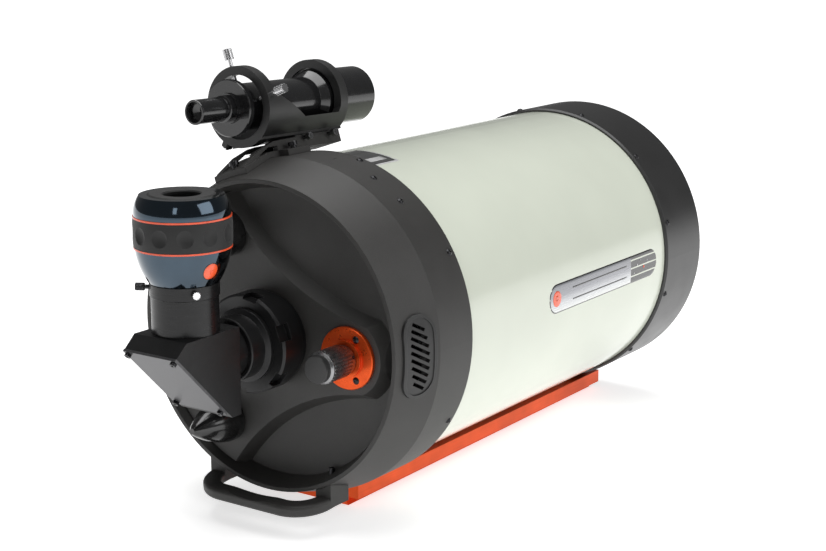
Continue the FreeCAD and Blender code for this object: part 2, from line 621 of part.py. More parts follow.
def secondary_holder_nut():
    """Ring that clamps the secondary holder from behind the corrector plate."""
    inner = SECONDARY_HOLDER_RADIUS + STATIC_GAP
    rear = CORRECTOR_BACK - NUT_THICKNESS
    half = NUT_SLOT_WIDTH / 2
    nut = ring_y(inner + NUT_WIDTH, inner, rear, CORRECTOR_BACK)
    slot = box(inner + NUT_WIDTH / 2, inner + NUT_WIDTH + 1, rear - 1, rear + NUT_THICKNESS / 2,
               AXIS_HEIGHT - half, AXIS_HEIGHT + half)
    return cut_all(nut, [about_axis(slot, 45 + 90 * index) for index in range(4)])


SECONDARY_CELL_RADIUS = SECONDARY_HOLDER_RADIUS - HOLDER_TUBE_WALL - RUNNING_GAP
SECONDARY_FRONT = CORRECTOR_FRONT + HOLDER_FLANGE_HEIGHT
SECONDARY_PLATE = 8.0     # secondary cell's front plate
SECONDARY_CELL_LENGTH = 30.0
SECONDARY_THICKNESS = 14.0
SECONDARY_CURVE_RADIUS = 620.0
COLLIMATION_PITCH = 22.0
COLLIMATION_SHANK = 2.0
COLLIMATION_LENGTH = 7.5
COLLIMATION_HEAD = 4.0
CAP_RING_HEIGHT = 8.0
CAP_RING_LIP = 4.0
CAP_RING_NOTCHES = 24
CAP_NOTCH_RADIUS = 1.6


def secondary_cell():
    """Removable cell that carries the secondary mirror."""
    front = SECONDARY_FRONT
    back = front - SECONDARY_CELL_LENGTH
    plate = front - SECONDARY_PLATE
    mirror = SECONDARY_RADIUS + STATIC_GAP
    cell = turned_y([(0, plate), (0, front), (SECONDARY_CELL_RADIUS - 1, front),
                     (SECONDARY_CELL_RADIUS, front - 1), (SECONDARY_CELL_RADIUS, back),
                     (mirror, back), (mirror, plate)])
    return cut_all(cell, [rod(seat + Vector(0, 1, 0), Vector(0, -1, 0), COLLIMATION_SHANK + STATIC_GAP,
                              SECONDARY_PLATE + 4) for seat in collimation_seats()])


def collimation_seats():
    """Places of the three collimation screws."""
    for index in range(3):
        yield polar(COLLIMATION_PITCH, 90 + 120 * index, SECONDARY_FRONT)


def collimation_screws():
    """Three collimation screws on the secondary cell's front."""
    return group([socket_screw(seat, Vector(0, 1, 0), COLLIMATION_SHANK, COLLIMATION_LENGTH,
                               COLLIMATION_HEAD, COLLIMATION_HEAD) for seat in collimation_seats()])


def secondary_mirror():
    """Convex secondary mirror in its cell."""
    front = SECONDARY_FRONT - SECONDARY_PLATE
    back = front - SECONDARY_THICKNESS
    ball = Part.makeSphere(SECONDARY_CURVE_RADIUS, Vector(0, back + SECONDARY_CURVE_RADIUS, AXIS_HEIGHT))
    return rod_y(SECONDARY_RADIUS, back, front).common(ball)


def secondary_cap_ring():
    """Knurled ring that keeps the secondary cell in its holder."""
    front = SECONDARY_FRONT + CAP_RING_HEIGHT
    outer = SECONDARY_FLANGE_RADIUS
    ring = ring_y(outer, SECONDARY_CELL_RADIUS - CAP_RING_LIP, SECONDARY_FRONT, front)
    notch = rod_y(CAP_NOTCH_RADIUS, SECONDARY_FRONT - 1, front + 1, outer + CAP_NOTCH_RADIUS / 3)
    return cut_all(ring, [about_axis(notch, 360.0 * index / CAP_RING_NOTCHES)
                          for index in range(CAP_RING_NOTCHES)])


# ---------------------------------------------------------------- primary mirror and focuser
BOSS_RADIUS = 9.0
BOSS_REAR = -26.0         # bosses' rear face behind the mirror's back
SLEEVE_WALL = 5.0
SLEEVE_LIP = 12.0         # sleeve beyond the mirror's front edge plane
CARRIER_PLATE = 6.0
CARRIER_RADIUS = 60.0
BAFFLE_TAIL = 6.0         # baffle tube behind the mounting face
BAFFLE_COLLAR_WIDTH = 11.0
BAFFLE_COLLAR_THICKNESS = 4.0
ROD_END_GAP = 4.0


def primary_mirror():
    """Concave primary mirror with a central hole."""
    back = SEAM + MIRROR_BACK
    front = back + PRIMARY_THICKNESS
    slab = ring_y(PRIMARY_RADIUS, BAFFLE_RADIUS + RUNNING_GAP + SLEEVE_WALL + STATIC_GAP, back, front)
    sag = PRIMARY_CURVE_RADIUS - math.sqrt(PRIMARY_CURVE_RADIUS ** 2 - PRIMARY_RADIUS ** 2)
    ball = Part.makeSphere(PRIMARY_CURVE_RADIUS, Vector(0, front - sag + PRIMARY_CURVE_RADIUS, AXIS_HEIGHT))
    return slab.cut(ball)


def mirror_carrier():
    """Sleeve and back plate that slide on the baffle tube, with three threaded bosses."""
    back = SEAM + MIRROR_BACK
    rear = back - CARRIER_PLATE
    sleeve_front = back + PRIMARY_THICKNESS + SLEEVE_LIP
    carrier = rod_y(CARRIER_RADIUS, rear, back)
    carrier = carrier.fuse(rod_y(BAFFLE_RADIUS + RUNNING_GAP + SLEEVE_WALL, rear, sleeve_front))
    tools = [rod_y(BAFFLE_RADIUS + RUNNING_GAP, rear - 1, sleeve_front + 1)]
    for index, (radius, angle) in enumerate(STATIONS):
        seat = station(index, back)
        arm = box(CARRIER_RADIUS / 2, radius, rear, back,
                  AXIS_HEIGHT - BOSS_RADIUS, AXIS_HEIGHT + BOSS_RADIUS)
        boss = rod_y(BOSS_RADIUS, back + BOSS_REAR, back, seat.x, seat.z)
        carrier = carrier.fuse(about_axis(arm, angle)).fuse(boss)
        tools.append(rod_y(FOCUS_ROD_RADIUS + FREE_GAP, back + BOSS_REAR - 1, back + 1, seat.x, seat.z))
    return cut_all(carrier, tools)


def primary_baffle():
    """Baffle tube that guides the primary mirror and shields the light path."""
    tube = ring_y(BAFFLE_RADIUS, BAFFLE_RADIUS - BAFFLE_WALL, LOBE_FACE - BAFFLE_TAIL, SEAM + BAFFLE_REACH)
    collar = ring_y(BAFFLE_RADIUS + BAFFLE_COLLAR_WIDTH, BAFFLE_RADIUS - 1, CAVITY_BACK,
                    CAVITY_BACK + BAFFLE_COLLAR_THICKNESS)
    return tube.fuse(collar)


def threaded_rod_reach():
    """Where the rods in the mirror bosses end, clear of the mirror at the end of its travel."""
    return SEAM + MIRROR_BACK - MIRROR_TRAVEL - ROD_END_GAP


def focus_flange():
    """Round flange that carries the focus screw's bearing."""
    seat = station(0, LOBE_FACE)
    rear = LOBE_FACE - FLANGE_THICKNESS
    plate = rod_y(FLANGE_RADIUS, rear, LOBE_FACE, seat.x, seat.z)
    hub = rod_y(FLANGE_HUB_RADIUS, rear - FLANGE_HUB_HEIGHT, rear, seat.x, seat.z)
    rim = [edge for edge in plate.Edges
           if abs(edge.BoundBox.YMin - rear) < 0.01 and edge.BoundBox.YLength < 0.01]
    plate = plate.makeChamfer(FLANGE_CHAMFER, rim)
    tools = [rod_y(FOCUS_ROD_RADIUS + FREE_GAP, rear - 10, LOBE_FACE + 1, seat.x, seat.z)]
    for screw in flange_screw_seats():
        tools.append(rod_y(SMALL_SCREW_SHANK + STATIC_GAP, rear - 1, LOBE_FACE + 1, screw.x, screw.z))
    return cut_all(plate.fuse(hub), tools)


KNOB_START = LOBE_FACE - FLANGE_THICKNESS - FLANGE_HUB_HEIGHT - KNOB_GAP
KNOB_COLLAR_LENGTH = 5.0
KNOB_COLLAR_STEP = 1.5
KNOB_BEZEL_LENGTH = 4.0
KNOB_BEZEL_STEP = 0.3
KNOB_BEZEL_CHAMFER = 2.2
KNOB_GROOVE_RADIUS = 1.1
KNOB_CAP_RADIUS = KNOB_RADIUS - 2.3
KNOB_CAP_LENGTH = 6.0
KNOB_CAP_EDGE = 0.8


def knob_end():
    """Rear end of the knob's metal, where its cap sits."""
    return KNOB_START - KNOB_LENGTH + KNOB_CAP_LENGTH


def focus_knob():
    """Grooved focus knob with a smooth collar in front and a chamfered bezel behind."""
    seat = station(0, 0)
    end = knob_end()
    grip_front = KNOB_START - KNOB_COLLAR_LENGTH
    grip_rear = end + KNOB_BEZEL_LENGTH
    bezel = KNOB_RADIUS - KNOB_BEZEL_STEP
    grip = fluted_knob(Vector(seat.x, grip_front, seat.z), Vector(0, -1, 0), KNOB_RADIUS,
                       grip_front - grip_rear, KNOB_GROOVES, KNOB_GROOVE_RADIUS)
    collar = rod_y(KNOB_RADIUS - KNOB_COLLAR_STEP, grip_front, KNOB_START, seat.x, seat.z)
    far = turned_y([(0, end), (bezel - KNOB_BEZEL_CHAMFER, end), (bezel, end + KNOB_BEZEL_LENGTH / 2),
                    (bezel, grip_rear), (0, grip_rear)], seat.x, seat.z)
    bore = rod_y(FOCUS_ROD_RADIUS + STATIC_GAP, end - 1, KNOB_START + 1, seat.x, seat.z)
    return grip.fuse(collar).fuse(far).cut(bore)


def knob_cap():
    """Round cap that closes the focus knob's end."""
    seat = station(0, 0)
    rear = KNOB_START - KNOB_LENGTH
    outline = [(0, rear), (KNOB_CAP_RADIUS - KNOB_CAP_EDGE, rear), (KNOB_CAP_RADIUS, rear + KNOB_CAP_EDGE),
               (KNOB_CAP_RADIUS, knob_end()), (0, knob_end())]
    return turned_y(outline, seat.x, seat.z)


def focus_screw():
    """Threaded rod from the knob to the mirror carrier."""
    seat = station(0, 0)
    return rod_y(FOCUS_ROD_RADIUS, knob_end(), threaded_rod_reach(), seat.x, seat.z)


def clutch_knob(index):
    """Pointed dome that tightens one mirror clutch, with its rod."""
    seat = station(index, LOBE_FACE)
    start = LOBE_FACE - KNOB_GAP
    tip = start - CLUTCH_LENGTH
    shoulder = start - CLUTCH_SKIRT
    nose_top = tip + CLUTCH_CHEEK
    corners = [(0, start), (CLUTCH_BASE_RADIUS, start), (CLUTCH_BASE_RADIUS, shoulder),
               (CLUTCH_BASE_RADIUS * CLUTCH_WAIST, (shoulder + nose_top) / 2 - 1),
               (CLUTCH_NOSE, nose_top), (CLUTCH_NOSE / 2, tip), (0, tip)]
    points = [Vector(seat.x + radius, y, seat.z) for radius, y in corners]
    edges = [Part.makeLine(points[0], points[1]), Part.makeLine(points[1], points[2]),
             Part.Arc(points[2], points[3], points[4]).toShape(), Part.makeLine(points[4], points[5]),
             Part.makeLine(points[5], points[6]), Part.makeLine(points[6], points[0])]
    dome = Part.Face(Part.Wire(edges)).revolve(Vector(seat.x, 0, seat.z), Vector(0, 1, 0), 360)
    return dome.fuse(rod_y(FOCUS_ROD_RADIUS, start, threaded_rod_reach(), seat.x, seat.z))


# ---------------------------------------------------------------- visual back and diagonal
def visual_ring():
    """Large notched ring on the rear cell's hub."""
    outer = VISUAL_RING_RADIUS
    inner = BAFFLE_RADIUS + VISUAL_RING_BORE_GAP
    neck = LOBE_FACE - VISUAL_RING_GROOVE
    ring = turned_y([(inner, VISUAL_RING_REAR), (outer - VISUAL_RING_CHAMFER, VISUAL_RING_REAR),
                     (outer, VISUAL_RING_REAR + VISUAL_RING_CHAMFER), (outer, neck - VISUAL_RING_STEP),
                     (outer - VISUAL_RING_STEP, neck), (outer - VISUAL_RING_STEP, LOBE_FACE),
                     (inner, LOBE_FACE)])
    notch = box(outer - NOTCH_DEPTH, outer + 1, VISUAL_RING_REAR - 1, VISUAL_RING_REAR + NOTCH_LENGTH,
                AXIS_HEIGHT - NOTCH_WIDTH / 2, AXIS_HEIGHT + NOTCH_WIDTH / 2)
    return cut_all(ring, [about_axis(notch, NOTCH_FIRST_ANGLE + 360.0 * index / VISUAL_RING_NOTCHES)
                          for index in range(VISUAL_RING_NOTCHES)])


VISUAL_SCREW_ANGLES = (150, 210)
THUMB_SHANK = 2.0
THUMB_HEAD_RADIUS = 4.0
THUMB_HEAD_LENGTH = 9.0
THUMB_KNURLS = 12
THUMB_KNURL_RADIUS = 0.5
THUMB_TIP_GAP = 0.6       # screw tips stand off the barrel they press
VISUAL_SCREW_SHANK = 12.0
VISUAL_SCREW_INSET = 9.0  # from the visual back's rear face


def thumb_screw(tip, direction, shank_length, head_radius=THUMB_HEAD_RADIUS, head_length=THUMB_HEAD_LENGTH):
    """Small knurled thumbscrew from its tip outwards."""
    shank = rod(tip, direction, THUMB_SHANK, shank_length)
    head = fluted_knob(tip + direction * shank_length, direction, head_radius, head_length,
                       THUMB_KNURLS, THUMB_KNURL_RADIUS)
    return shank.fuse(head)


def visual_screw_y():
    """Plane of the visual back's thumbscrews."""
    return VISUAL_BACK_REAR + VISUAL_SCREW_INSET


def visual_back():
    """Two-inch adapter that receives the diagonal's nose."""
    body = turned_y([(BARREL_BORE, VISUAL_BACK_REAR), (VISUAL_BACK_RADIUS - 1, VISUAL_BACK_REAR),
                     (VISUAL_BACK_RADIUS, VISUAL_BACK_REAR + 1), (VISUAL_BACK_RADIUS, STEP_RING_REAR - 1.5),
                     (STEP_RING_RADIUS - 2, STEP_RING_REAR), (STEP_RING_RADIUS, STEP_RING_REAR + 1),
                     (STEP_RING_RADIUS, VISUAL_RING_REAR), (BARREL_BORE, VISUAL_RING_REAR)])
    tools = []
    for angle in VISUAL_SCREW_ANGLES:
        start = polar(BARREL_BORE - 2, angle, visual_screw_y())
        tools.append(rod(start, radial(angle), THUMB_SHANK + RUNNING_GAP, VISUAL_SCREW_SHANK))
    return cut_all(body, tools)


def visual_back_screw(index):
    """Thumbscrew that holds the diagonal's nose."""
    angle = VISUAL_SCREW_ANGLES[index]
    return thumb_screw(polar(BARREL_RADIUS + THUMB_TIP_GAP, angle, visual_screw_y()), radial(angle),
                       VISUAL_SCREW_SHANK)


def slope_frame(shape):
    """Place a shape built flat about the origin on the diagonal's 45 degree mirror plane."""
    placed = shape.copy()
    placed.rotate(Vector(0, 0, 0), Vector(1, 0, 0), 135)
    placed.translate(Vector(0, EYEPIECE_Y, AXIS_HEIGHT))
    return placed


SLOPE_SHIFT = 27.0        # rearward from the mirror surface to the body's sloping face
SLOPE_DEPTH = SLOPE_SHIFT / math.sqrt(2)
BACK_TOP_SETBACK = 6.5    # top's rear edge behind the slope's plane at the eyepiece axis
BACK_HEIGHT = DIAGONAL_TOP - 11.5   # where the short rear face meets the slope, above the axis
MIRROR_HALF_WIDTH = LIGHT_RADIUS + 2.0
MIRROR_HALF_LENGTH = MIRROR_HALF_WIDTH + 12.0
COVER_LENGTH = 2 * (MIRROR_HALF_LENGTH + COVER_MARGIN)
MIRROR_POCKET_GAP = 0.5
COVER_HOLE_RADIUS = 1.6
COVER_SCREW_SHANK = 1.5
COVER_SCREW_LENGTH = 6.0
COVER_SCREW_HEAD = 3.0
COVER_HOLE_DEPTH = 4.5
COVER_SHIFT = 1.5
COVER_SCREW_INSET = 4.2


def cover_screw_places():
    """Corners of the cover plate, in the slope's own plane."""
    for side in (-1, 1):
        for end in (-1, 1):
            yield (side * (DIAGONAL_HALF_WIDTH - COVER_SCREW_INSET),
                   COVER_SHIFT + end * (COVER_LENGTH / 2 - COVER_SCREW_INSET))


def diagonal_body():
    """Right-angle mirror housing."""
    face = SEAM + DIAGONAL_FACE
    slope = EYEPIECE_Y - SLOPE_SHIFT
    corners = [(face, DIAGONAL_TOP), (slope - BACK_TOP_SETBACK, DIAGONAL_TOP),
               (slope - BACK_HEIGHT, BACK_HEIGHT), (slope - DIAGONAL_BOTTOM, DIAGONAL_BOTTOM),
               (face, DIAGONAL_BOTTOM)]
    points = [Vector(-DIAGONAL_HALF_WIDTH, y, AXIS_HEIGHT + z) for y, z in corners]
    block = Part.Face(Part.makePolygon(points + [points[0]])).extrude(Vector(2 * DIAGONAL_HALF_WIDTH, 0, 0))
    half_width = MIRROR_HALF_WIDTH + MIRROR_POCKET_GAP
    half_length = MIRROR_HALF_LENGTH + MIRROR_POCKET_GAP
    pocket = slope_frame(box(-half_width, half_width, -half_length, half_length, 0, SLOPE_DEPTH + 1))
    tools = [pocket, rod_y(LIGHT_RADIUS, EYEPIECE_Y, face + 1),
             rod_z(LIGHT_RADIUS, AXIS_HEIGHT, AXIS_HEIGHT + DIAGONAL_TOP + 1, 0, EYEPIECE_Y)]
    for x, y in cover_screw_places():
        tools.append(slope_frame(rod_z(COVER_HOLE_RADIUS, SLOPE_DEPTH - COVER_HOLE_DEPTH,
                                       SLOPE_DEPTH + 1, x, y)))
    return cut_all(block, tools)


def diagonal_mirror():
    """Flat first-surface mirror."""
    return slope_frame(box(-MIRROR_HALF_WIDTH, MIRROR_HALF_WIDTH, -MIRROR_HALF_LENGTH, MIRROR_HALF_LENGTH,
                           0, MIRROR_PLATE_THICKNESS))


def diagonal_cover():
    """Cover plate with the pad that holds the mirror."""
    half = COVER_LENGTH / 2
    plate = box(-DIAGONAL_HALF_WIDTH, DIAGONAL_HALF_WIDTH, COVER_SHIFT - half, COVER_SHIFT + half,
                SLOPE_DEPTH, SLOPE_DEPTH + COVER_THICKNESS)
    pad = box(-MIRROR_HALF_WIDTH, MIRROR_HALF_WIDTH, -MIRROR_HALF_LENGTH, MIRROR_HALF_LENGTH,
              MIRROR_PLATE_THICKNESS, SLOPE_DEPTH)
    holes = [rod_z(COVER_HOLE_RADIUS, SLOPE_DEPTH - 1, SLOPE_DEPTH + COVER_THICKNESS + 1, x, y)
             for x, y in cover_screw_places()]
    return slope_frame(cut_all(plate.fuse(pad), holes))


def cover_screws():
    """Four black screws at the cover's corners."""
    screws = []
    for x, y in cover_screw_places():
        seat = Vector(x, y, SLOPE_DEPTH + COVER_THICKNESS)
        screws.append(slope_frame(socket_screw(seat, Vector(0, 0, 1), COVER_SCREW_SHANK, COVER_SCREW_LENGTH,
                                               COVER_SCREW_HEAD, COVER_SCREW_HEAD)))
    return group(screws)


def diagonal_nose():
    """Two-inch nose that turns in the visual back."""
    face = SEAM + DIAGONAL_FACE
    inner = BARREL_RADIUS - NOSE_WALL
    shoulder = BARREL_RADIUS + NOSE_COLLAR_WIDTH
    collar = face + NOSE_COLLAR_LENGTH
    front = VISUAL_BACK_REAR + NOSE_ENGAGEMENT
    return turned_y([(inner, face), (shoulder, face), (shoulder, collar), (BARREL_RADIUS, collar + 1),
                     (BARREL_RADIUS, front - 1), (BARREL_RADIUS - 1, front), (inner, front)])


HOLDER_BASE = AXIS_HEIGHT + DIAGONAL_TOP
HOLDER_TOP = HOLDER_BASE + HOLDER_HEIGHT
HOLDER_SCREW_AZIMUTHS = (-151.0, -31.0)
HOLDER_SCREW_DROP = 6.5   # below the holder's top
HOLDER_SCREW_HEAD = 3.6
HOLDER_THUMB_SHANK = 10.5
HOLDER_THUMB_LENGTH = 8.0
HOLDER_SIDE_SHANK = 6.2
HOLDER_SIDE_LENGTH = 4.0
HOLDER_LEDGE = 4.0        # floor that stops the eyepiece barrel
HOLDER_EDGE = 0.8


def holder_screw_z():
    """Height of the eyepiece holder's screws."""
    return HOLDER_TOP - HOLDER_SCREW_DROP


def azimuth(degrees):
    """Horizontal direction, 0 is +X and 90 is +Y."""
    angle = math.radians(degrees)
    return Vector(math.cos(angle), math.sin(angle), 0)


def eyepiece_holder():
    """Round holder for a two-inch eyepiece, standing on the diagonal."""
    head = HOLDER_TOP - HOLDER_HEAD_HEIGHT
    outline = [(LIGHT_RADIUS, HOLDER_BASE), (HOLDER_RADIUS, HOLDER_BASE), (HOLDER_RADIUS, head),
               (HOLDER_HEAD_RADIUS, head + HOLDER_EDGE), (HOLDER_HEAD_RADIUS, HOLDER_TOP - HOLDER_EDGE),
               (HOLDER_HEAD_RADIUS - HOLDER_EDGE, HOLDER_TOP), (BARREL_BORE, HOLDER_TOP),
               (BARREL_BORE, HOLDER_BASE + HOLDER_LEDGE), (LIGHT_RADIUS, HOLDER_BASE + HOLDER_LEDGE)]
    centre = Vector(0, EYEPIECE_Y, holder_screw_z())
    tools = [rod(centre + azimuth(angle) * (BARREL_BORE - 2), azimuth(angle), THUMB_SHANK + RUNNING_GAP,
                 HOLDER_THUMB_SHANK) for angle in HOLDER_SCREW_AZIMUTHS]
    return cut_all(turned_z(outline, 0, EYEPIECE_Y), tools)


def holder_thumbscrew():
    """Thumbscrew on the eyepiece holder's left."""
    direction = azimuth(HOLDER_SCREW_AZIMUTHS[0])
    tip = Vector(0, EYEPIECE_Y, holder_screw_z()) + direction * (BARREL_RADIUS + THUMB_TIP_GAP)
    return thumb_screw(tip, direction, HOLDER_THUMB_SHANK, HOLDER_SCREW_HEAD, HOLDER_THUMB_LENGTH)


def holder_side_screw():
    """Low bright screw on the eyepiece holder's other side."""
    direction = azimuth(HOLDER_SCREW_AZIMUTHS[1])
    tip = Vector(0, EYEPIECE_Y, holder_screw_z()) + direction * (BARREL_RADIUS + THUMB_TIP_GAP)
    return thumb_screw(tip, direction, HOLDER_SIDE_SHANK, HOLDER_SCREW_HEAD, HOLDER_SIDE_LENGTH)


# ---------------------------------------------------------------- eyepiece
EYEPIECE_FOOT = HOLDER_TOP
LOWER_BAND = EYEPIECE_FOOT + BODY_HEIGHT
GRIP_BASE = LOWER_BAND + BAND_HEIGHT
UPPER_BAND = GRIP_BASE + GRIP_HEIGHT
TWIST_BASE = UPPER_BAND + BAND_HEIGHT
EYE_TOP = TWIST_BASE + TWIST_HEIGHT
EYECUP_RADIUS = CORE_RADIUS - 4.0
BARREL_END_GAP = 2.0      # barrel's end above the holder's ledge
LENS_WALL = 2.6           # barrel's wall around the lenses
CORE_NECK = 5.0           # core's foot is thinner by this
CORE_NECK_HEIGHT = 2.0
CORE_SHOULDER = 6.0
CORE_TOP = 2.0            # core beyond the upper band
BODY_BULGE = 1.7
BODY_TOP_INSET = 0.6
BAND_STEP = 0.2
GRIP_BULGE = 0.8
DIMPLE_RADIUS = 14.4
DIMPLE_DEPTH = 1.9
DIMPLE_FIRST = -15.0
TWIST_TOP_STEP = 1.5
TWIST_FOOT_INSET = 0.4
TWIST_WAIST_INSET = 1.4
CUP_FLOOR_GAP = 0.6
CUP_WALL = 6.0
LENS_CURVE_RADIUS = 60.0
EYE_LENS_THICKNESS = 8.0
FIELD_LENS_THICKNESS = 9.0


def curved_ring(outer_low, outer_mid, outer_high, inner, z0, z1):
    """Ring about the eyepiece axis whose outside is an arc through three radii."""
    low = Vector(outer_low, EYEPIECE_Y, z0)
    middle = Vector(outer_mid, EYEPIECE_Y, (z0 + z1) / 2)
    high = Vector(outer_high, EYEPIECE_Y, z1)
    inner_high = Vector(inner, EYEPIECE_Y, z1)
    inner_low = Vector(inner, EYEPIECE_Y, z0)
    wire = Part.Wire([Part.Arc(low, middle, high).toShape(), Part.makeLine(high, inner_high),
                      Part.makeLine(inner_high, inner_low), Part.makeLine(inner_low, low)])
    return Part.Face(wire).revolve(Vector(0, EYEPIECE_Y, 0), Vector(0, 0, 1), 360)


def eyepiece_barrel():
    """Two-inch barrel with the core tube that carries the grip."""
    inner = BARREL_RADIUS - LENS_WALL
    foot = HOLDER_BASE + HOLDER_LEDGE + BARREL_END_GAP
    neck = CORE_RADIUS - CORE_NECK
    top = TWIST_BASE + CORE_TOP
    outline = [(inner, foot), (BARREL_RADIUS, foot), (BARREL_RADIUS, EYEPIECE_FOOT),
               (neck, EYEPIECE_FOOT), (neck, EYEPIECE_FOOT + CORE_NECK_HEIGHT),
               (CORE_RADIUS, EYEPIECE_FOOT + CORE_SHOULDER), (CORE_RADIUS, top), (inner, top)]
    return turned_z(outline, 0, EYEPIECE_Y)


def eyepiece_body():
    """Glossy tapered lower shell."""
    neck = CORE_RADIUS - CORE_NECK + STATIC_GAP
    bore = CORE_RADIUS + STATIC_GAP
    waist = (EYEPIECE_FOOT_RADIUS + GRIP_RADIUS) / 2 + BODY_BULGE
    shell = curved_ring(EYEPIECE_FOOT_RADIUS, waist, GRIP_RADIUS - BODY_TOP_INSET, 5,
                        EYEPIECE_FOOT + FREE_GAP, LOWER_BAND)
    core = [(0, EYEPIECE_FOOT - 1), (neck, EYEPIECE_FOOT - 1), (neck, EYEPIECE_FOOT + CORE_NECK_HEIGHT),
            (bore, EYEPIECE_FOOT + CORE_SHOULDER), (bore, LOWER_BAND + 1), (0, LOWER_BAND + 1)]
    return shell.cut(turned_z(core, 0, EYEPIECE_Y))


def eyepiece_bands():
    """Two thin coloured bands above and below the grip."""
    bands = []
    bore = CORE_RADIUS + STATIC_GAP
    for base in (LOWER_BAND, UPPER_BAND):
        band = rod_z(GRIP_RADIUS + BAND_STEP, base, base + BAND_HEIGHT, 0, EYEPIECE_Y)
        bands.append(band.cut(rod_z(bore, base - 1, base + BAND_HEIGHT + 1, 0, EYEPIECE_Y)))
    return group(bands)


def eyepiece_grip():
    """Rubber grip with oval dimples."""
    top = GRIP_BASE + GRIP_HEIGHT
    grip = curved_ring(GRIP_RADIUS, GRIP_RADIUS + GRIP_BULGE, GRIP_RADIUS, CORE_RADIUS + STATIC_GAP,
                       GRIP_BASE, top)
    centre = Vector(0, EYEPIECE_Y, (GRIP_BASE + top) / 2)
    reach = GRIP_RADIUS + DIMPLE_RADIUS - DIMPLE_DEPTH
    pitch = 360.0 / GRIP_DIMPLES
    tools = [Part.makeSphere(DIMPLE_RADIUS, centre + azimuth(DIMPLE_FIRST + pitch * index) * reach)
             for index in range(GRIP_DIMPLES)]
    return cut_all(grip, tools)


def eyepiece_twist_ring():
    """Glossy upper ring that raises the eyecup when twisted."""
    shell = curved_ring(GRIP_RADIUS - TWIST_FOOT_INSET, GRIP_RADIUS - TWIST_WAIST_INSET,
                        EYE_TOP_RADIUS + TWIST_TOP_STEP, 5, TWIST_BASE + FREE_GAP, EYE_TOP)
    bore = rod_z(CORE_RADIUS + FREE_GAP, TWIST_BASE - 1, TWIST_BASE + 2 * CORE_TOP, 0, EYEPIECE_Y)
    throat = rod_z(EYECUP_RADIUS + FREE_GAP, TWIST_BASE, EYE_TOP + 1, 0, EYEPIECE_Y)
    return cut_all(shell, [bore, throat])


def eyecup():
    """Eyecup that rises out of the twist ring."""
    base = TWIST_BASE + CORE_TOP + CUP_FLOOR_GAP
    inner = EYECUP_RADIUS - CUP_WALL
    outline = [(inner, base), (EYECUP_RADIUS, base), (EYECUP_RADIUS, EYE_TOP),
               (EYECUP_RADIUS - 1.5, EYE_TOP + 1.0), (EYE_OPENING_RADIUS + 1, EYE_TOP + 0.4),
               (EYE_OPENING_RADIUS, EYE_TOP - 1), (EYE_OPENING_RADIUS + 3, EYE_TOP - 4),
               (inner, EYE_TOP - 5)]
    return turned_z(outline, 0, EYEPIECE_Y)


def eyepiece_lenses():
    """Eye lens and field lens."""
    radius = BARREL_RADIUS - LENS_WALL - STATIC_GAP
    eye_top = TWIST_BASE + CORE_TOP
    eye = rod_z(radius, eye_top - EYE_LENS_THICKNESS, eye_top, 0, EYEPIECE_Y)
    eye = eye.common(Part.makeSphere(LENS_CURVE_RADIUS, Vector(0, EYEPIECE_Y, eye_top - LENS_CURVE_RADIUS)))
    field_base = EYEPIECE_FOOT + CORE_NECK_HEIGHT * 2
    field = rod_z(radius, field_base, field_base + FIELD_LENS_THICKNESS, 0, EYEPIECE_Y)
    bulge = Part.makeSphere(LENS_CURVE_RADIUS, Vector(0, EYEPIECE_Y, field_base + LENS_CURVE_RADIUS))
    field = field.common(bulge)
    return group([eye, field])


# ---------------------------------------------------------------- finder
FINDER_Z = AXIS_HEIGHT + FINDER_RADIUS_FROM_AXIS
FINDER_PIVOT = SEAM + FRONT_RING_Y + FINDER_RING_WIDTH / 2
FINDER_SCREW_Y = SEAM + REAR_RING_Y + FINDER_RING_WIDTH / 2
O_RING_RADIUS = 1.9       # of its round section
O_RING_GROOVE_GAP = 0.8   # each side of the ring, for the finder's tilt
O_RING_FLOOR_GAP = 0.6
FINDER_CELL_WALL = 3.0    # objective cell over the finder's body
FINDER_SLEEVE_REACH = 14.0    # finder's body beyond its front ring
FINDER_PLATE_THICKNESS = 6.0
FINDER_PLATE_SPIGOT = 4.0
FINDER_HUB_STEP = 3.0
COLLAR_END_GAP = 1.0      # collar inside each face of the front ring
COLLAR_TAPER_START = 12.0
COLLAR_TAPER_END = 4.0
CELL_REAR_GAP = 6.0       # objective cell in front of the front ring
CELL_SHOULDER = 16.0
CELL_LIP = 5.5
LENS_SETBACK = 22.0
FINDER_LENS_THICKNESS = 8.0
FINDER_LENS_CURVE = 90.0
LENS_EDGE_GAP = 0.2
LOCK_RING_GAP = 1.0
LOCK_RING_LENGTH = 4.5
LOCK_RING_INSET = 0.6
LOCK_RING_NOTCHES = 30
LOCK_NOTCH_RADIUS = 0.8


def finder_place(shape):
    """Turn a shape built upright above the tube to the finder's side."""
    return about_axis(shape, FINDER_ANGLE)


def lean(shape):
    """Lean a shape forward about the finder's pivot."""
    leant = shape.copy()
    leant.rotate(Vector(0, FINDER_PIVOT, FINDER_Z), Vector(1, 0, 0), FINDER_PITCH)
    return leant


def finder_set(shape):
    """Lean a finder piece and turn it to its side."""
    return finder_place(lean(shape))


def finder_sleeve_radius():
    """Outside of the finder's body under its objective cell."""
    return FINDER_CELL_RADIUS - FINDER_CELL_WALL


def finder_ring_front():
    """Front face of the bracket's front ring."""
    return SEAM + FRONT_RING_Y + FINDER_RING_WIDTH


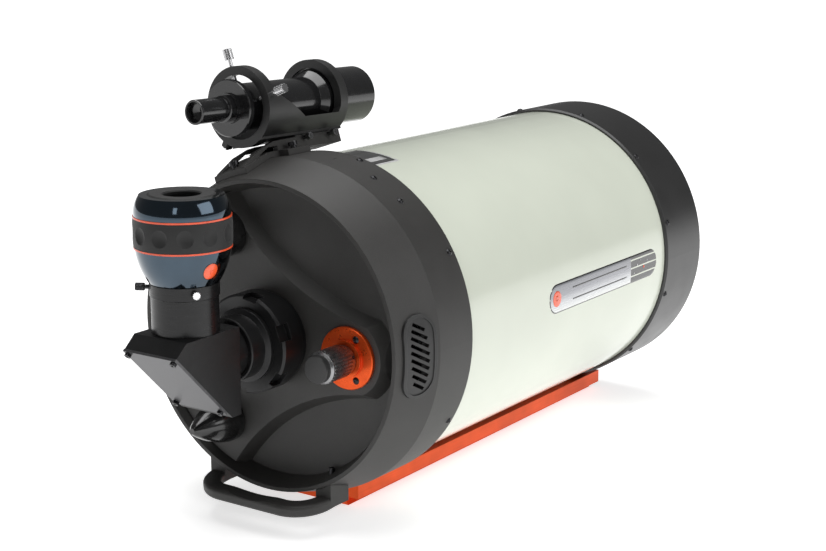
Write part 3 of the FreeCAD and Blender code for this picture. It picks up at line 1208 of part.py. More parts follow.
def finder_tube():
    """Finder body with a collar for its rubber ring."""
    inner = FINDER_TUBE_RADIUS - FINDER_WALL
    rear = SEAM + FINDER_PLATE_Y + FINDER_PLATE_THICKNESS
    front = finder_ring_front() + FINDER_SLEEVE_REACH
    half = FINDER_RING_WIDTH / 2 - COLLAR_END_GAP
    groove = O_RING_RADIUS + O_RING_GROOVE_GAP
    groove_floor = FINDER_RING_INNER - FREE_GAP - 2 * O_RING_RADIUS - O_RING_FLOOR_GAP
    sleeve = finder_sleeve_radius()
    outline = [(inner, rear), (FINDER_TUBE_RADIUS, rear),
               (FINDER_TUBE_RADIUS, FINDER_PIVOT - half - COLLAR_TAPER_START),
               (FINDER_COLLAR_RADIUS, FINDER_PIVOT - half - COLLAR_TAPER_END),
               (FINDER_COLLAR_RADIUS, FINDER_PIVOT - groove), (groove_floor, FINDER_PIVOT - groove),
               (groove_floor, FINDER_PIVOT + groove), (FINDER_COLLAR_RADIUS, FINDER_PIVOT + groove),
               (FINDER_COLLAR_RADIUS, FINDER_PIVOT + half), (sleeve, FINDER_PIVOT + half + 2),
               (sleeve, front), (inner, front)]
    return finder_set(turned_y(outline, 0, FINDER_Z))


def finder_objective_cell():
    """Front cell that slides on the finder body to focus it."""
    rear = finder_ring_front() + CELL_REAR_GAP
    front = SEAM + FINDER_FRONT
    inner = finder_sleeve_radius() + RUNNING_GAP
    shoulder = finder_ring_front() + CELL_SHOULDER
    lens_rear = front - LENS_SETBACK
    outside = FINDER_CELL_RADIUS
    outline = [(inner, rear), (outside - 1, rear), (outside, rear + 1),
               (outside, front - 0.8), (outside - 0.8, front), (outside - 2, front),
               (outside - FINDER_CELL_WALL, lens_rear), (outside - CELL_LIP, lens_rear),
               (outside - CELL_LIP, shoulder), (inner, shoulder)]
    return finder_set(turned_y(outline, 0, FINDER_Z))


def finder_objective():
    """Objective lens of the finder."""
    rear = SEAM + FINDER_FRONT - LENS_SETBACK
    front = rear + FINDER_LENS_THICKNESS
    lens = rod_y(finder_sleeve_radius() - LENS_EDGE_GAP, rear, front, 0, FINDER_Z)
    lens = lens.common(Part.makeSphere(FINDER_LENS_CURVE, Vector(0, front - FINDER_LENS_CURVE, FINDER_Z)))
    return finder_set(lens)


def finder_lock_ring():
    """Knurled ring that locks the finder's objective cell."""
    rear = finder_ring_front() + LOCK_RING_GAP
    front = rear + LOCK_RING_LENGTH
    outer = FINDER_CELL_RADIUS - LOCK_RING_INSET
    ring = ring_y(outer, finder_sleeve_radius() + RUNNING_GAP, rear, front, 0, FINDER_Z)
    reach = outer + LOCK_NOTCH_RADIUS / 2
    notches = []
    for index in range(LOCK_RING_NOTCHES):
        place = local_radial(360.0 * index / LOCK_RING_NOTCHES) * reach
        notches.append(rod_y(LOCK_NOTCH_RADIUS, rear - 1, front + 1, place.x, FINDER_Z + place.z))
    return finder_set(cut_all(ring, notches))


def finder_rear_plate():
    """Round plate that closes the finder's rear and carries its eyepiece."""
    rear = SEAM + FINDER_PLATE_Y
    front = rear + FINDER_PLATE_THICKNESS
    hub = FINDER_EYEPIECE_RADIUS + FINDER_HUB_STEP
    bore = FINDER_EYEPIECE_RADIUS - 2
    spigot = FINDER_TUBE_RADIUS - FINDER_WALL - STATIC_GAP
    outline = [(bore, rear - FINDER_HUB_STEP), (hub, rear - FINDER_HUB_STEP),
               (hub, rear), (FINDER_PLATE_RADIUS - 0.8, rear),
               (FINDER_PLATE_RADIUS, rear + 0.8), (FINDER_PLATE_RADIUS, front),
               (spigot, front), (spigot, front + FINDER_PLATE_SPIGOT), (bore, front + FINDER_PLATE_SPIGOT)]
    return finder_set(turned_y(outline, 0, FINDER_Z))


def finder_eyepiece():
    """Small eyepiece of the finder with its stepped neck."""
    end = SEAM + FINDER_REAR
    plate = SEAM + FINDER_PLATE_Y - FINDER_HUB_STEP
    outer = FINDER_EYEPIECE_RADIUS
    neck = outer - 1.5
    hub = outer + 1
    eye = outer - 4
    outline = [(eye + 2, end), (outer - 0.5, end), (outer, end + 0.8), (outer, plate - 10),
               (neck, plate - 9), (neck, plate - 7), (hub, plate - 6), (hub, plate), (0, plate),
               (0, end + 9), (eye, end + 7), (eye, end + 5)]
    return finder_set(turned_y(outline, 0, FINDER_Z))


def finder_o_ring():
    """Rubber ring on which the finder tilts."""
    centre = Vector(0, FINDER_PIVOT, FINDER_Z)
    middle = FINDER_RING_INNER - FREE_GAP - O_RING_RADIUS
    return finder_set(Part.makeTorus(middle, O_RING_RADIUS, centre, Vector(0, 1, 0)))


ALIGN_ANGLES = (91, 4)    # local screw directions; the plunger sits opposite, between them
PLUNGER_ANGLE = 225
PLUNGER_RADIUS = 3.0
PLUNGER_LENGTH = 22.0
PLUNGER_TIP_GAP = 2.8
PLUNGER_BOSS_RADIUS = 5.5
PLUNGER_BOSS_LENGTH = 12.0
ALIGN_SHANK_REACH = 7.0   # shank beyond the bracket's rings
ALIGN_HEAD_RADIUS = 4.6
ALIGN_HEAD_LENGTH = 11.0
BORE_START = 3.5          # screw and plunger bores begin this far inside the rings' bore
TROUGH_THICKNESS = 12.0
WINDOW_RAMP = 8.0


def local_radial(degrees):
    """Direction about the finder's axis before it is turned to its side."""
    angle = math.radians(degrees)
    return Vector(math.cos(angle), 0, math.sin(angle))


def side_prism(corners, half_width):
    """Prism across the finder from (y from the seam, height above the finder's axis) corners."""
    points = [Vector(-half_width, SEAM + y, FINDER_Z + height) for y, height in corners]
    return Part.Face(Part.makePolygon(points + [points[0]])).extrude(Vector(2 * half_width, 0, 0))


def finder_bracket():
    """Cradle of two rings joined by an open-sided trough, with a dovetail rail below."""
    rear = SEAM + REAR_RING_Y
    front = finder_ring_front()
    rear_ring_front = REAR_RING_Y + FINDER_RING_WIDTH
    bottom = FINDER_Z - SPINE_BOTTOM
    reach = FINDER_RING_OUTER + 1
    trough = rod_y(FINDER_RING_OUTER, rear, front, 0, FINDER_Z)
    trough = trough.fuse(box(-SPINE_HALF_WIDTH, SPINE_HALF_WIDTH, rear, front,
                             bottom, bottom + TROUGH_THICKNESS))
    window = side_prism([(rear_ring_front, reach), (rear_ring_front, WINDOW_RAMP / 2),
                         (rear_ring_front + WINDOW_RAMP, 0), (0, -WINDOW_SILL),
                         (FRONT_RING_Y - 2, -WINDOW_SILL), (FRONT_RING_Y, 5 - WINDOW_SILL),
                         (FRONT_RING_Y, reach)], reach)
    under = box(-reach, reach, SEAM + rear_ring_front + 2, front + 1, FINDER_Z - reach, bottom)
    bore = rod_y(FINDER_RING_INNER, rear - 1, front + 1, 0, FINDER_Z)
    bracket = cut_all(trough, [window, under, bore]).fuse(rail_prism(0, SEAM + SHOE_BLOCK_Y[0], front))
    centre = Vector(0, FINDER_SCREW_Y, FINDER_Z)
    opposite = local_radial(PLUNGER_ANGLE)
    boss = rod(centre + opposite * (FINDER_RING_INNER + 2), opposite, PLUNGER_BOSS_RADIUS,
               PLUNGER_BOSS_LENGTH)
    start = FINDER_RING_INNER - BORE_START
    tools = [rod(centre + local_radial(angle) * start, local_radial(angle), THUMB_SHANK + RUNNING_GAP,
                 FINDER_RING_OUTER + 1 - start) for angle in ALIGN_ANGLES]
    tools.append(rod(centre + opposite * start, opposite, PLUNGER_RADIUS + RUNNING_GAP,
                     PLUNGER_BOSS_LENGTH + FINDER_RING_WALL))
    return finder_set(cut_all(bracket.fuse(boss), tools))


def rail_prism(gap, y0, y1):
    """Dovetail rail under the finder bracket; gap opens it into the shoe's channel."""
    top = FINDER_Z - SPINE_BOTTOM
    narrow = RAIL_HALF_WIDTH - RAIL_TAPER + gap
    wide = RAIL_HALF_WIDTH + gap
    low = top - RAIL_HEIGHT - gap
    corners = [(-narrow, top), (narrow, top), (wide, low), (-wide, low)]
    points = [Vector(x, y0, z) for x, z in corners]
    return Part.Face(Part.makePolygon(points + [points[0]])).extrude(Vector(0, y1 - y0, 0))


def align_screw(index):
    """Finder alignment thumbscrew."""
    direction = local_radial(ALIGN_ANGLES[index])
    start = FINDER_TUBE_RADIUS + SCREW_TIP_GAP
    tip = Vector(0, FINDER_SCREW_Y, FINDER_Z) + direction * start
    return finder_set(thumb_screw(tip, direction, FINDER_RING_OUTER + ALIGN_SHANK_REACH - start,
                                  ALIGN_HEAD_RADIUS, ALIGN_HEAD_LENGTH))


def plunger():
    """Sprung plunger that pushes the finder against its two screws."""
    direction = local_radial(PLUNGER_ANGLE)
    tip = Vector(0, FINDER_SCREW_Y, FINDER_Z) + direction * (FINDER_TUBE_RADIUS + PLUNGER_TIP_GAP)
    return finder_set(rod(tip, direction, PLUNGER_RADIUS, PLUNGER_LENGTH))


RAIL_TAPER = 3.0          # rail's neck is narrower than its foot by this, each side
CLAMP_SCREW_Y = (8.0, 48.0)
CLAMP_SCREW_RISE = 3.2    # above the rail's foot
CLAMP_SHANK = 13.5
CLAMP_HEAD_RADIUS = 3.6
CLAMP_HEAD_LENGTH = 5.0
SHOE_FOOT_Y = (-93.0, -6.0)
SHOE_TOE_REAR = -40.0
SHOE_FOOT_THICKNESS = 6.0
SHOE_RIB_WIDTH = 6.0
SHOE_RIB_RISE = 22.0      # rib's rear corner above the cell
SHOE_RIB_SUNK = 12.0      # ribs start this far inside the rim's radius, before the cell is cut away
SHOE_FIT = 2.0            # ribs stand this far off the cell
BRIDGE_THICKNESS = 5.0


def clamp_screw_start(index):
    """Inner end of a shoe clamp screw, just outside the rail."""
    height = FINDER_Z - SPINE_BOTTOM - RAIL_HEIGHT + CLAMP_SCREW_RISE
    return Vector(RAIL_HALF_WIDTH + THUMB_TIP_GAP, SEAM + CLAMP_SCREW_Y[index], height)


def clamp_screw(index):
    """Thumbscrew that clamps the finder bracket in its shoe."""
    return finder_set(thumb_screw(clamp_screw_start(index), Vector(1, 0, 0), CLAMP_SHANK,
                                  CLAMP_HEAD_RADIUS, CLAMP_HEAD_LENGTH))


def shoe_rib(side, high):
    """One of the two ribs that carry the shoe's block; high is its top below the finder's axis."""
    foot_rear, foot_front = SHOE_FOOT_Y
    low = REAR_RIM_RADIUS - SHOE_RIB_SUNK - FINDER_RADIUS_FROM_AXIS
    block_low = SHOE_BLOCK_RADIUS - FINDER_RADIUS_FROM_AXIS
    block_rear = SHOE_BLOCK_Y[0] + 8
    outline = [(foot_rear + 1, low), (foot_rear + 1, low + SHOE_RIB_RISE), (-64, high - 6), (-40, high),
               (block_rear, high), (block_rear, block_low), (foot_front, block_low - 3), (foot_front, low)]
    window = [(-66, high - 11.5), (-36, high - 11.5), (-36, high - 5), (-50, high - 5)]
    rib = side_prism(outline, SHOE_RIB_WIDTH / 2).cut(side_prism(window, SHOE_RIB_WIDTH))
    rib.translate(Vector(side * (SHOE_HALF_WIDTH - SHOE_RIB_WIDTH / 2), 0, 0))
    return rib.cut(turned_y([(0, REAR_RIM)] + cell_outline(SHOE_FIT) + [(0, SEAM)]))


def finder_shoe():
    """Shoe on the rear cell with two ribs up to the block that takes the finder bracket."""
    top = FINDER_Z - SPINE_BOTTOM - FREE_GAP
    block = lean(box(-SHOE_HALF_WIDTH, SHOE_HALF_WIDTH, SEAM + SHOE_BLOCK_Y[0], SEAM + SHOE_BLOCK_Y[1],
                     AXIS_HEIGHT + SHOE_BLOCK_RADIUS, top))
    rear, front = SEAM + SHOE_FOOT_Y[0], SEAM + SHOE_FOOT_Y[1]
    sky = AXIS_HEIGHT + REAR_CELL_RADIUS + 20
    heel = box(-SHOE_HEEL_HALF_WIDTH, SHOE_HEEL_HALF_WIDTH, rear, front, AXIS_HEIGHT, sky)
    toe = box(-SHOE_TOE_HALF_WIDTH, SHOE_TOE_HALF_WIDTH, SEAM + SHOE_TOE_REAR, front, AXIS_HEIGHT, sky)
    foot = cell_skin(SADDLE_FIT, SHOE_FOOT_THICKNESS, rear, front).common(heel.fuse(toe))
    high = -SPINE_BOTTOM - FREE_GAP
    shoe = block.fuse(foot)
    for side in (-1, 1):
        shoe = shoe.fuse(shoe_rib(side, high))
    bridge_low = high - BRIDGE_THICKNESS
    bridge = side_prism([(-48, bridge_low), (-40, high), (0, high), (0, bridge_low)], SHOE_HALF_WIDTH)
    tools = [lean(rail_prism(FREE_GAP, SEAM + REAR_RING_Y, SEAM + SHOE_BLOCK_Y[1] + 1))]
    for index in range(2):
        tools.append(lean(rod(clamp_screw_start(index) - Vector(1, 0, 0), Vector(1, 0, 0),
                              THUMB_SHANK + RUNNING_GAP, SHOE_HALF_WIDTH)))
    return finder_place(cut_all(shoe.fuse(bridge), tools + shoe_holes(False)))


SHOE_BOLTS = ((0.0, -84.0), (-26.0, -22.0), (26.0, -22.0))
BOLT_SHANK = 3.0
BOLT_HEAD = 4.8
BOLT_HEAD_HEIGHT = 4.0
BAR_BOLT_SHANK = 20.0
HANDLE_BOLT_SHANK = 26.0
SHOE_BOLT_SHANK = 12.0
SHOE_BOLT_LIFT = 2.0      # head's underside above the foot's crest


def shoe_bolt_seats():
    """Places of the shoe's bolts on the foot, before it is turned to its side."""
    for x, y in SHOE_BOLTS:
        radius = cell_radius(SEAM + y) + SHOE_FOOT_THICKNESS
        yield Vector(x, SEAM + y, AXIS_HEIGHT + math.sqrt(radius ** 2 - x ** 2))


def shoe_holes(placed=True):
    """Bolt holes through the shoe's foot and the cell under it."""
    up = Vector(0, 0, 1)
    holes = [rod(seat + up * 5, up * -1, BOLT_SHANK + STATIC_GAP, 18) for seat in shoe_bolt_seats()]
    return [finder_place(hole) for hole in holes] if placed else holes


# ---------------------------------------------------------------- dovetail bar and handle
def bar_section():
    """Closed outline of the dovetail bar, from its bottom face up."""
    neck_top = BAR_NECK_DEPTH
    top = neck_top + BAR_SIDE_HEIGHT
    half = [(BAR_BASE_WIDTH / 2, 0), (BAR_NECK_WIDTH / 2, neck_top), (BAR_WIDTH / 2, neck_top),
            (BAR_WIDTH / 2, top)]
    return half + [(-x, z) for x, z in reversed(half)]


def saddle_prism(y0, y1):
    """Curved saddle between the bar and a cell."""
    top = BAR_NECK_DEPTH + BAR_SIDE_HEIGHT
    return box(-SADDLE_WIDTH / 2, SADDLE_WIDTH / 2, y0, y1, top, top + 20)


def dovetail_bar():
    """Long dovetail bar with a saddle under each cell."""
    rear = -BAR_LENGTH / 2
    points = [Vector(x, rear, z) for x, z in bar_section()]
    bar = Part.Face(Part.makePolygon(points + [points[0]])).extrude(Vector(0, BAR_LENGTH, 0))
    rear_saddle = saddle_prism(rear, SEAM - 1).cut(rod_y(REAR_CELL_RADIUS + SADDLE_FIT, rear - 1, SEAM))
    front_end = -rear
    front_saddle = saddle_prism(FRONT_SEAM + 1, front_end).cut(
        rod_y(FRONT_CELL_RADIUS + SADDLE_FIT, FRONT_SEAM, front_end + 1))
    bar = bar.cut(rod_y(REAR_CELL_RADIUS + SADDLE_FIT, rear - 1, SEAM + 0.5))
    bar = bar.cut(rod_y(FRONT_CELL_RADIUS + SADDLE_FIT, FRONT_SEAM - 0.5, front_end + 1))
    bar = bar.cut(rod_y(TUBE_RADIUS + FREE_GAP, SEAM, FRONT_SEAM))
    holes = saddle_holes(SEAM - SADDLE_BOLT_INSET) + saddle_holes(FRONT_SEAM + SADDLE_BOLT_INSET)
    return cut_all(bar.fuse(rear_saddle).fuse(front_saddle), holes + bar_counterbores())


BAR_BOLT_X = 15.0


def saddle_holes(y):
    """Pair of bolt holes up through the bar into a cell."""
    top = AXIS_HEIGHT - TUBE_RADIUS + 5
    return [rod_z(BOLT_SHANK + STATIC_GAP, BAR_BOLT_SEAT - 1, top, side * BAR_BOLT_X, y)
            for side in (-1, 1)]


def bar_bolt_seats():
    """Seats of the bar's bolts in their counterbores."""
    for y in (SEAM - SADDLE_BOLT_INSET, FRONT_SEAM + SADDLE_BOLT_INSET):
        for side in (-1, 1):
            yield Vector(side * BAR_BOLT_X, y, BAR_BOLT_SEAT)


def bar_counterbores():
    """Counterbores for the bar's bolts."""
    return [rod_z(BOLT_HEAD + FREE_GAP, -1, seat.z, seat.x, seat.y) for seat in bar_bolt_seats()]


HANDLE_BOLT_X = HANDLE_HALF_WIDTH - HANDLE_BAR_WIDTH / 2
HANDLE_FOOT_LENGTH = 28.0
HANDLE_BOLT_Y = HANDLE_FRONT - HANDLE_FOOT_LENGTH / 2
HANDLE_BASE = AXIS_HEIGHT - HANDLE_DROP - HANDLE_THICKNESS / 2
HANDLE_BOLT_DEPTH = 9.0   # from the handle's underside to the bolt's seat


def handle_bolt_seats():
    """Seats of the handle's bolts inside its feet."""
    for side in (-1, 1):
        yield Vector(side * HANDLE_BOLT_X, SEAM + HANDLE_BOLT_Y, HANDLE_BASE + HANDLE_BOLT_DEPTH)


def handle_holes():
    """Holes for the handle's bolts in the rear cell and the handle."""
    return [rod_z(BOLT_SHANK + STATIC_GAP, seat.z - 1, seat.z + HANDLE_BOLT_SHANK + 3, seat.x, seat.y)
            for seat in handle_bolt_seats()]


def handle_slab(inset, low, high):
    """Round-cornered slab that the handle's outside or inside follows."""
    half = HANDLE_HALF_WIDTH - inset
    rear = SEAM + HANDLE_REAR + inset
    front = SEAM + HANDLE_FRONT + 3 * inset
    slab = box(-half, half, rear, front, low, high)
    corners = [edge for edge in slab.Edges if edge.BoundBox.ZLength > 1 and edge.BoundBox.YMin < rear + 1]
    return slab.makeFillet(HANDLE_CORNER - inset, corners)


def rear_handle():
    """U-shaped carrying handle on two feet below the rear cell."""
    top = HANDLE_BASE + HANDLE_THICKNESS
    loop = handle_slab(0, HANDLE_BASE, top).cut(handle_slab(HANDLE_BAR_WIDTH, HANDLE_BASE - 1, top + 1))
    front = SEAM + HANDLE_FRONT
    rims = [edge for edge in loop.Edges if edge.BoundBox.ZLength < 0.01 and edge.BoundBox.YMin < front - 1]
    loop = loop.makeFillet(HANDLE_ROUNDING, rims)
    loop.rotate(Vector(0, front, AXIS_HEIGHT - HANDLE_DROP), Vector(1, 0, 0), HANDLE_TILT)
    half = HANDLE_BAR_WIDTH / 2
    for side in (-1, 1):
        x = side * HANDLE_BOLT_X
        loop = loop.fuse(box(x - half, x + half, front - HANDLE_FOOT_LENGTH, front, HANDLE_BASE, top + 25))
    behind = SEAM + HANDLE_REAR - 10
    keep = turned_y([(0, behind), (REAR_RIM_RADIUS + SADDLE_FIT, behind)] + cell_outline(SADDLE_FIT)
                    + [(0, SEAM)])
    counterbores = [rod_z(BOLT_HEAD + FREE_GAP, HANDLE_BASE - 10, seat.z, seat.x, seat.y)
                    for seat in handle_bolt_seats()]
    return cut_all(loop, [keep] + handle_holes() + counterbores)


def socket_screws():
    """All of the socket-head bolts: bar, handle and finder shoe."""
    up = Vector(0, 0, 1)
    screws = [socket_screw(seat, up * -1, BOLT_SHANK, BAR_BOLT_SHANK, BOLT_HEAD, BOLT_HEAD_HEIGHT)
              for seat in bar_bolt_seats()]
    screws += [socket_screw(seat, up * -1, BOLT_SHANK, HANDLE_BOLT_SHANK, BOLT_HEAD, BOLT_HEAD_HEIGHT)
               for seat in handle_bolt_seats()]
    for seat in shoe_bolt_seats():
        screw = socket_screw(seat + up * SHOE_BOLT_LIFT, up, BOLT_SHANK, SHOE_BOLT_SHANK, BOLT_HEAD,
                             BOLT_HEAD_HEIGHT)
        screws.append(finder_place(screw))
    return group(screws)


# ---------------------------------------------------------------- every node
NODES = {
    "main_tube": main_tube(),
    "rear_cell": rear_cell(),
    "front_cell": front_cell(),
    "small_screws": small_screws(),
    "corrector_plate": corrector_plate(),
    "corrector_ring": corrector_ring(),
    "corrector_ring_screws": corrector_ring_screws(),
    "secondary_holder": secondary_holder(),
    "secondary_holder_nut": secondary_holder_nut(),
    "secondary_cap_ring": secondary_cap_ring(),
    "secondary_cell": secondary_cell(),
    "secondary_mirror": secondary_mirror(),
    "collimation_screws": collimation_screws(),
    "primary_mirror": primary_mirror(),
    "mirror_carrier": mirror_carrier(),
    "primary_baffle": primary_baffle(),
    "focus_flange": focus_flange(),
    "focus_knob": focus_knob(),
    "knob_cap": knob_cap(),
    "focus_screw": focus_screw(),
    "clutch_knob_upper": clutch_knob(1),
    "clutch_knob_lower": clutch_knob(2),
    "visual_ring": visual_ring(),
    "visual_back": visual_back(),
    "visual_back_screw_upper": visual_back_screw(0),
    "visual_back_screw_lower": visual_back_screw(1),
    "diagonal_body": diagonal_body(),
    "diagonal_nose": diagonal_nose(),
    "diagonal_mirror": diagonal_mirror(),
    "diagonal_cover": diagonal_cover(),
    "cover_screws": cover_screws(),
    "eyepiece_holder": eyepiece_holder(),
    "holder_thumbscrew": holder_thumbscrew(),
    "holder_side_screw": holder_side_screw(),
    "eyepiece_barrel": eyepiece_barrel(),
    "eyepiece_body": eyepiece_body(),
    "eyepiece_grip": eyepiece_grip(),
    "eyepiece_bands": eyepiece_bands(),
    "eyepiece_twist_ring": eyepiece_twist_ring(),
    "eyecup": eyecup(),
    "eyepiece_lenses": eyepiece_lenses(),
    "finder_tube": finder_tube(),
    "finder_objective_cell": finder_objective_cell(),
    "finder_objective": finder_objective(),
    "finder_lock_ring": finder_lock_ring(),
    "finder_rear_plate": finder_rear_plate(),
    "finder_eyepiece": finder_eyepiece(),
    "finder_o_ring": finder_o_ring(),
    "finder_bracket": finder_bracket(),
    "align_screw_upper": align_screw(0),
    "align_screw_side": align_screw(1),
    "plunger": plunger(),
    "finder_shoe": finder_shoe(),
    "shoe_clamp_screw_rear": clamp_screw(0),
    "shoe_clamp_screw_front": clamp_screw(1),
    "vent_grille_left": vent_grille(-1),
    "vent_grille_right": vent_grille(1),
    "rear_handle": rear_handle(),
    "dovetail_bar": dovetail_bar(),
    "socket_screws": socket_screws(),
}

for name, shape in NODES.items():
    shape.exportStep(f"parts/{name}.step")
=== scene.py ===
import math

import bmesh
import bpy
from bpy.props import FloatProperty, FloatVectorProperty, IntProperty, PointerProperty
from mathutils import Matrix, Vector


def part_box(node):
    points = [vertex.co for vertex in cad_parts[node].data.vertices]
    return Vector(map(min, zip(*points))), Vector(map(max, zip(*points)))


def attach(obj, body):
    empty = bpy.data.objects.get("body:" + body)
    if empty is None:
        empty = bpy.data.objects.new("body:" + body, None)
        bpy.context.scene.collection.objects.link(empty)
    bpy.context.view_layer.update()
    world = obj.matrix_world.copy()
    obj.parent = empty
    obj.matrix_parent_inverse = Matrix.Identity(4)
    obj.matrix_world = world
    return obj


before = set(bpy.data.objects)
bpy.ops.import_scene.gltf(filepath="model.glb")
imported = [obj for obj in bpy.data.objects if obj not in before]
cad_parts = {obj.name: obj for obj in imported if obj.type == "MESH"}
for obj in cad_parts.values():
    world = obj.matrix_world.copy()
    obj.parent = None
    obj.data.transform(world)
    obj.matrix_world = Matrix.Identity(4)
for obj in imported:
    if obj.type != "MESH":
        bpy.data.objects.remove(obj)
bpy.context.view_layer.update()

bl_info = {
    "name": "Folded-path telescope",
    "version": (1, 0, 0),
    "blender": (4, 5, 0),
    "location": "3D View > Sidebar > Telescope",
    "description": "Finishes and trim of a compact telescope with its diagonal, eyepiece and finder",
    "category": "Object",
}

MM = 0.001

# Trim on the tube: each layer's lift off the enamel, its thickness and its softened edge.
BACKING_LIFT, BACKING_THICKNESS, BACKING_EDGE = 0.05 * MM, 0.25 * MM, 0.08 * MM
FIELD_LIFT, FIELD_THICKNESS, FIELD_EDGE = BACKING_LIFT + BACKING_THICKNESS, 0.12 * MM, 0.04 * MM
PRINT_LIFT, PRINT_THICKNESS, PRINT_EDGE = FIELD_LIFT + FIELD_THICKNESS + 0.01 * MM, 0.1 * MM, 0.03 * MM
POINT_LIFT, POINT_THICKNESS, POINT_EDGE = FIELD_LIFT + 0.02 * MM, 0.08 * MM, 0.02 * MM

# Badge layout, in shares of its length along the tube and of its height round it.
FIELD_END = 0.745
LINE_START, LINE_END, LINE_OFFSET = 0.20, 0.70, 0.20
LINE_HALF_WIDTH = 0.7 * MM
DOT_RADIUS = 0.27
POINTS_START, POINT_PITCH = 0.775, 0.032
POINT_RISES = (-0.16, 0.1, 0.24, -0.04, 0.16)
POINT_RADII = (0.8 * MM, 1.1 * MM, 0.7 * MM, 1.7 * MM, 0.8 * MM)
ORANGE_POINT = 3

# Top label: its place, and each layer's inset, lift and thickness.
LABEL_START = 2 * MM
LABEL_LOW, LABEL_HIGH = math.radians(74), math.radians(94)
LABEL_MARGIN, LABEL_STRIPE = 3.0 * MM, 9.0 * MM
PLATE_LIFT, PLATE_THICKNESS = 0.05 * MM, 0.12 * MM
PANEL_LIFT, PANEL_THICKNESS = PLATE_LIFT + PLATE_THICKNESS, 0.06 * MM
STRIPE_LIFT, STRIPE_THICKNESS = PANEL_LIFT + PANEL_THICKNESS, 0.05 * MM

# Eyepiece dot: its height as a share of the shell, its turn from +X, its rim and its lifts.
EMBLEM_RISE = 0.46
EMBLEM_AZIMUTH = math.radians(-11)
EMBLEM_RIM = 0.8 * MM
EMBLEM_RIM_LIFT, EMBLEM_DOT_LIFT = 0.10 * MM, 0.22 * MM
OUTSIDE_SHELL = 0.08

# Set screws: their first turn, their place on the collar, and (radius, rise) of the profile.
GRUB_FIRST_TURN = math.radians(20)
GRUB_FROM_FRONT = 2.5 * MM
COLLAR_STEP, GRUB_SINK = 1.5 * MM, 0.1 * MM
GRUB_PROFILE = ((1.7, 0.0), (1.7, 0.35), (1.5, 0.5), (0.85, 0.5), (0.8, -0.1), (0.02, -0.1))

# Stage: each softbox's name, place, target, size and the setting that holds its watts.
SOFTBOXES = (
    ("top_softbox", (-0.1, -0.1, 2.2), (0, 0, 0.2), (2.6, 1.6), "top_light"),
    ("side_softbox", (2.6, 0.3, 1.5), (0, 0, 0.2), (1.8, 1.8), "side_light"),
    ("edge_softbox", (0.9, -2.4, 1.3), (0, -0.3, 0.25), (0.35, 0.9), "edge_light"),
)

# Floor: half its width, its drop below the bar, and where its glow starts and is full.
FLOOR_HALF_SIZE = 60
FLOOR_DROP = 0.3 * MM
FLOOR_NEAR, FLOOR_FAR = 0.45, 1.6


# ---------------------------------------------------------------- places taken from the frame
def centre_of(node):
    """Middle of a CAD node's box."""
    low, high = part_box(node)
    return (low + high) / 2


TUBE_LOW, TUBE_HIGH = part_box("main_tube")
TUBE_RADIUS = (TUBE_HIGH.x - TUBE_LOW.x) / 2
AXIS_HEIGHT = (TUBE_HIGH.z + TUBE_LOW.z) / 2
REAR_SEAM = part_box("rear_cell")[1].y
EYEPIECE_AXIS = centre_of("eyepiece_barrel")
KNOB_AXIS = centre_of("focus_knob")


# ---------------------------------------------------------------- settings a user would change
class TelescopeFinishes(bpy.types.PropertyGroup):
    """Colours of the telescope's finishes."""
    tube: FloatVectorProperty(name="Tube enamel", description="Gloss enamel of the main tube",
                              subtype="COLOR", default=(0.60, 0.635, 0.545))
    casting: FloatVectorProperty(name="Casting paint", description="Textured paint of the rear cell",
                                 subtype="COLOR", default=(0.024, 0.0232, 0.022))
    ring: FloatVectorProperty(name="Front ring paint", description="Satin paint of the front ring",
                              subtype="COLOR", default=(0.016, 0.016, 0.016))
    black: FloatVectorProperty(name="Black anodising", description="Diagonal, holder and visual back",
                               subtype="COLOR", default=(0.008, 0.008, 0.0085))
    accent: FloatVectorProperty(name="Orange anodising", description="Dovetail bar and focuser flange",
                                subtype="COLOR", default=(0.74, 0.085, 0.012))
    shell: FloatVectorProperty(name="Eyepiece shell", description="Dark blue mirror finish",
                               subtype="COLOR", default=(0.035, 0.056, 0.078))
    rubber: FloatVectorProperty(name="Rubber", description="Eyepiece grip and eyecup",
                                subtype="COLOR", default=(0.012, 0.012, 0.012))


class TelescopeTrim(bpy.types.PropertyGroup):
    """Sizes of the trim that is laid on the metalwork."""
    badge_start: FloatProperty(name="Badge start", description="Rear end of the badge ahead of the seam",
                               unit="LENGTH", default=0.157)
    badge_length: FloatProperty(name="Badge length", description="Length of the badge along the tube",
                                unit="LENGTH", default=0.243)
    badge_height: FloatProperty(name="Badge height", description="Height of the badge round the tube",
                                unit="LENGTH", default=0.031)
    badge_angle: FloatProperty(name="Badge angle", description="Middle of the badge round the tube",
                               subtype="ANGLE", default=math.radians(1.25))
    badge_border: FloatProperty(name="Badge border", description="Width of the badge's black edge",
                                unit="LENGTH", default=0.0013)
    label_length: FloatProperty(name="Label length", description="Length of the label on the tube's top",
                                unit="LENGTH", default=0.052)
    emblem_width: FloatProperty(name="Emblem width", description="Width of the eyepiece's round dot",
                                unit="LENGTH", default=0.0145)
    grub_screws: IntProperty(name="Grub screws", description="Set screws round the focus knob's collar",
                             default=3, min=1, max=6)


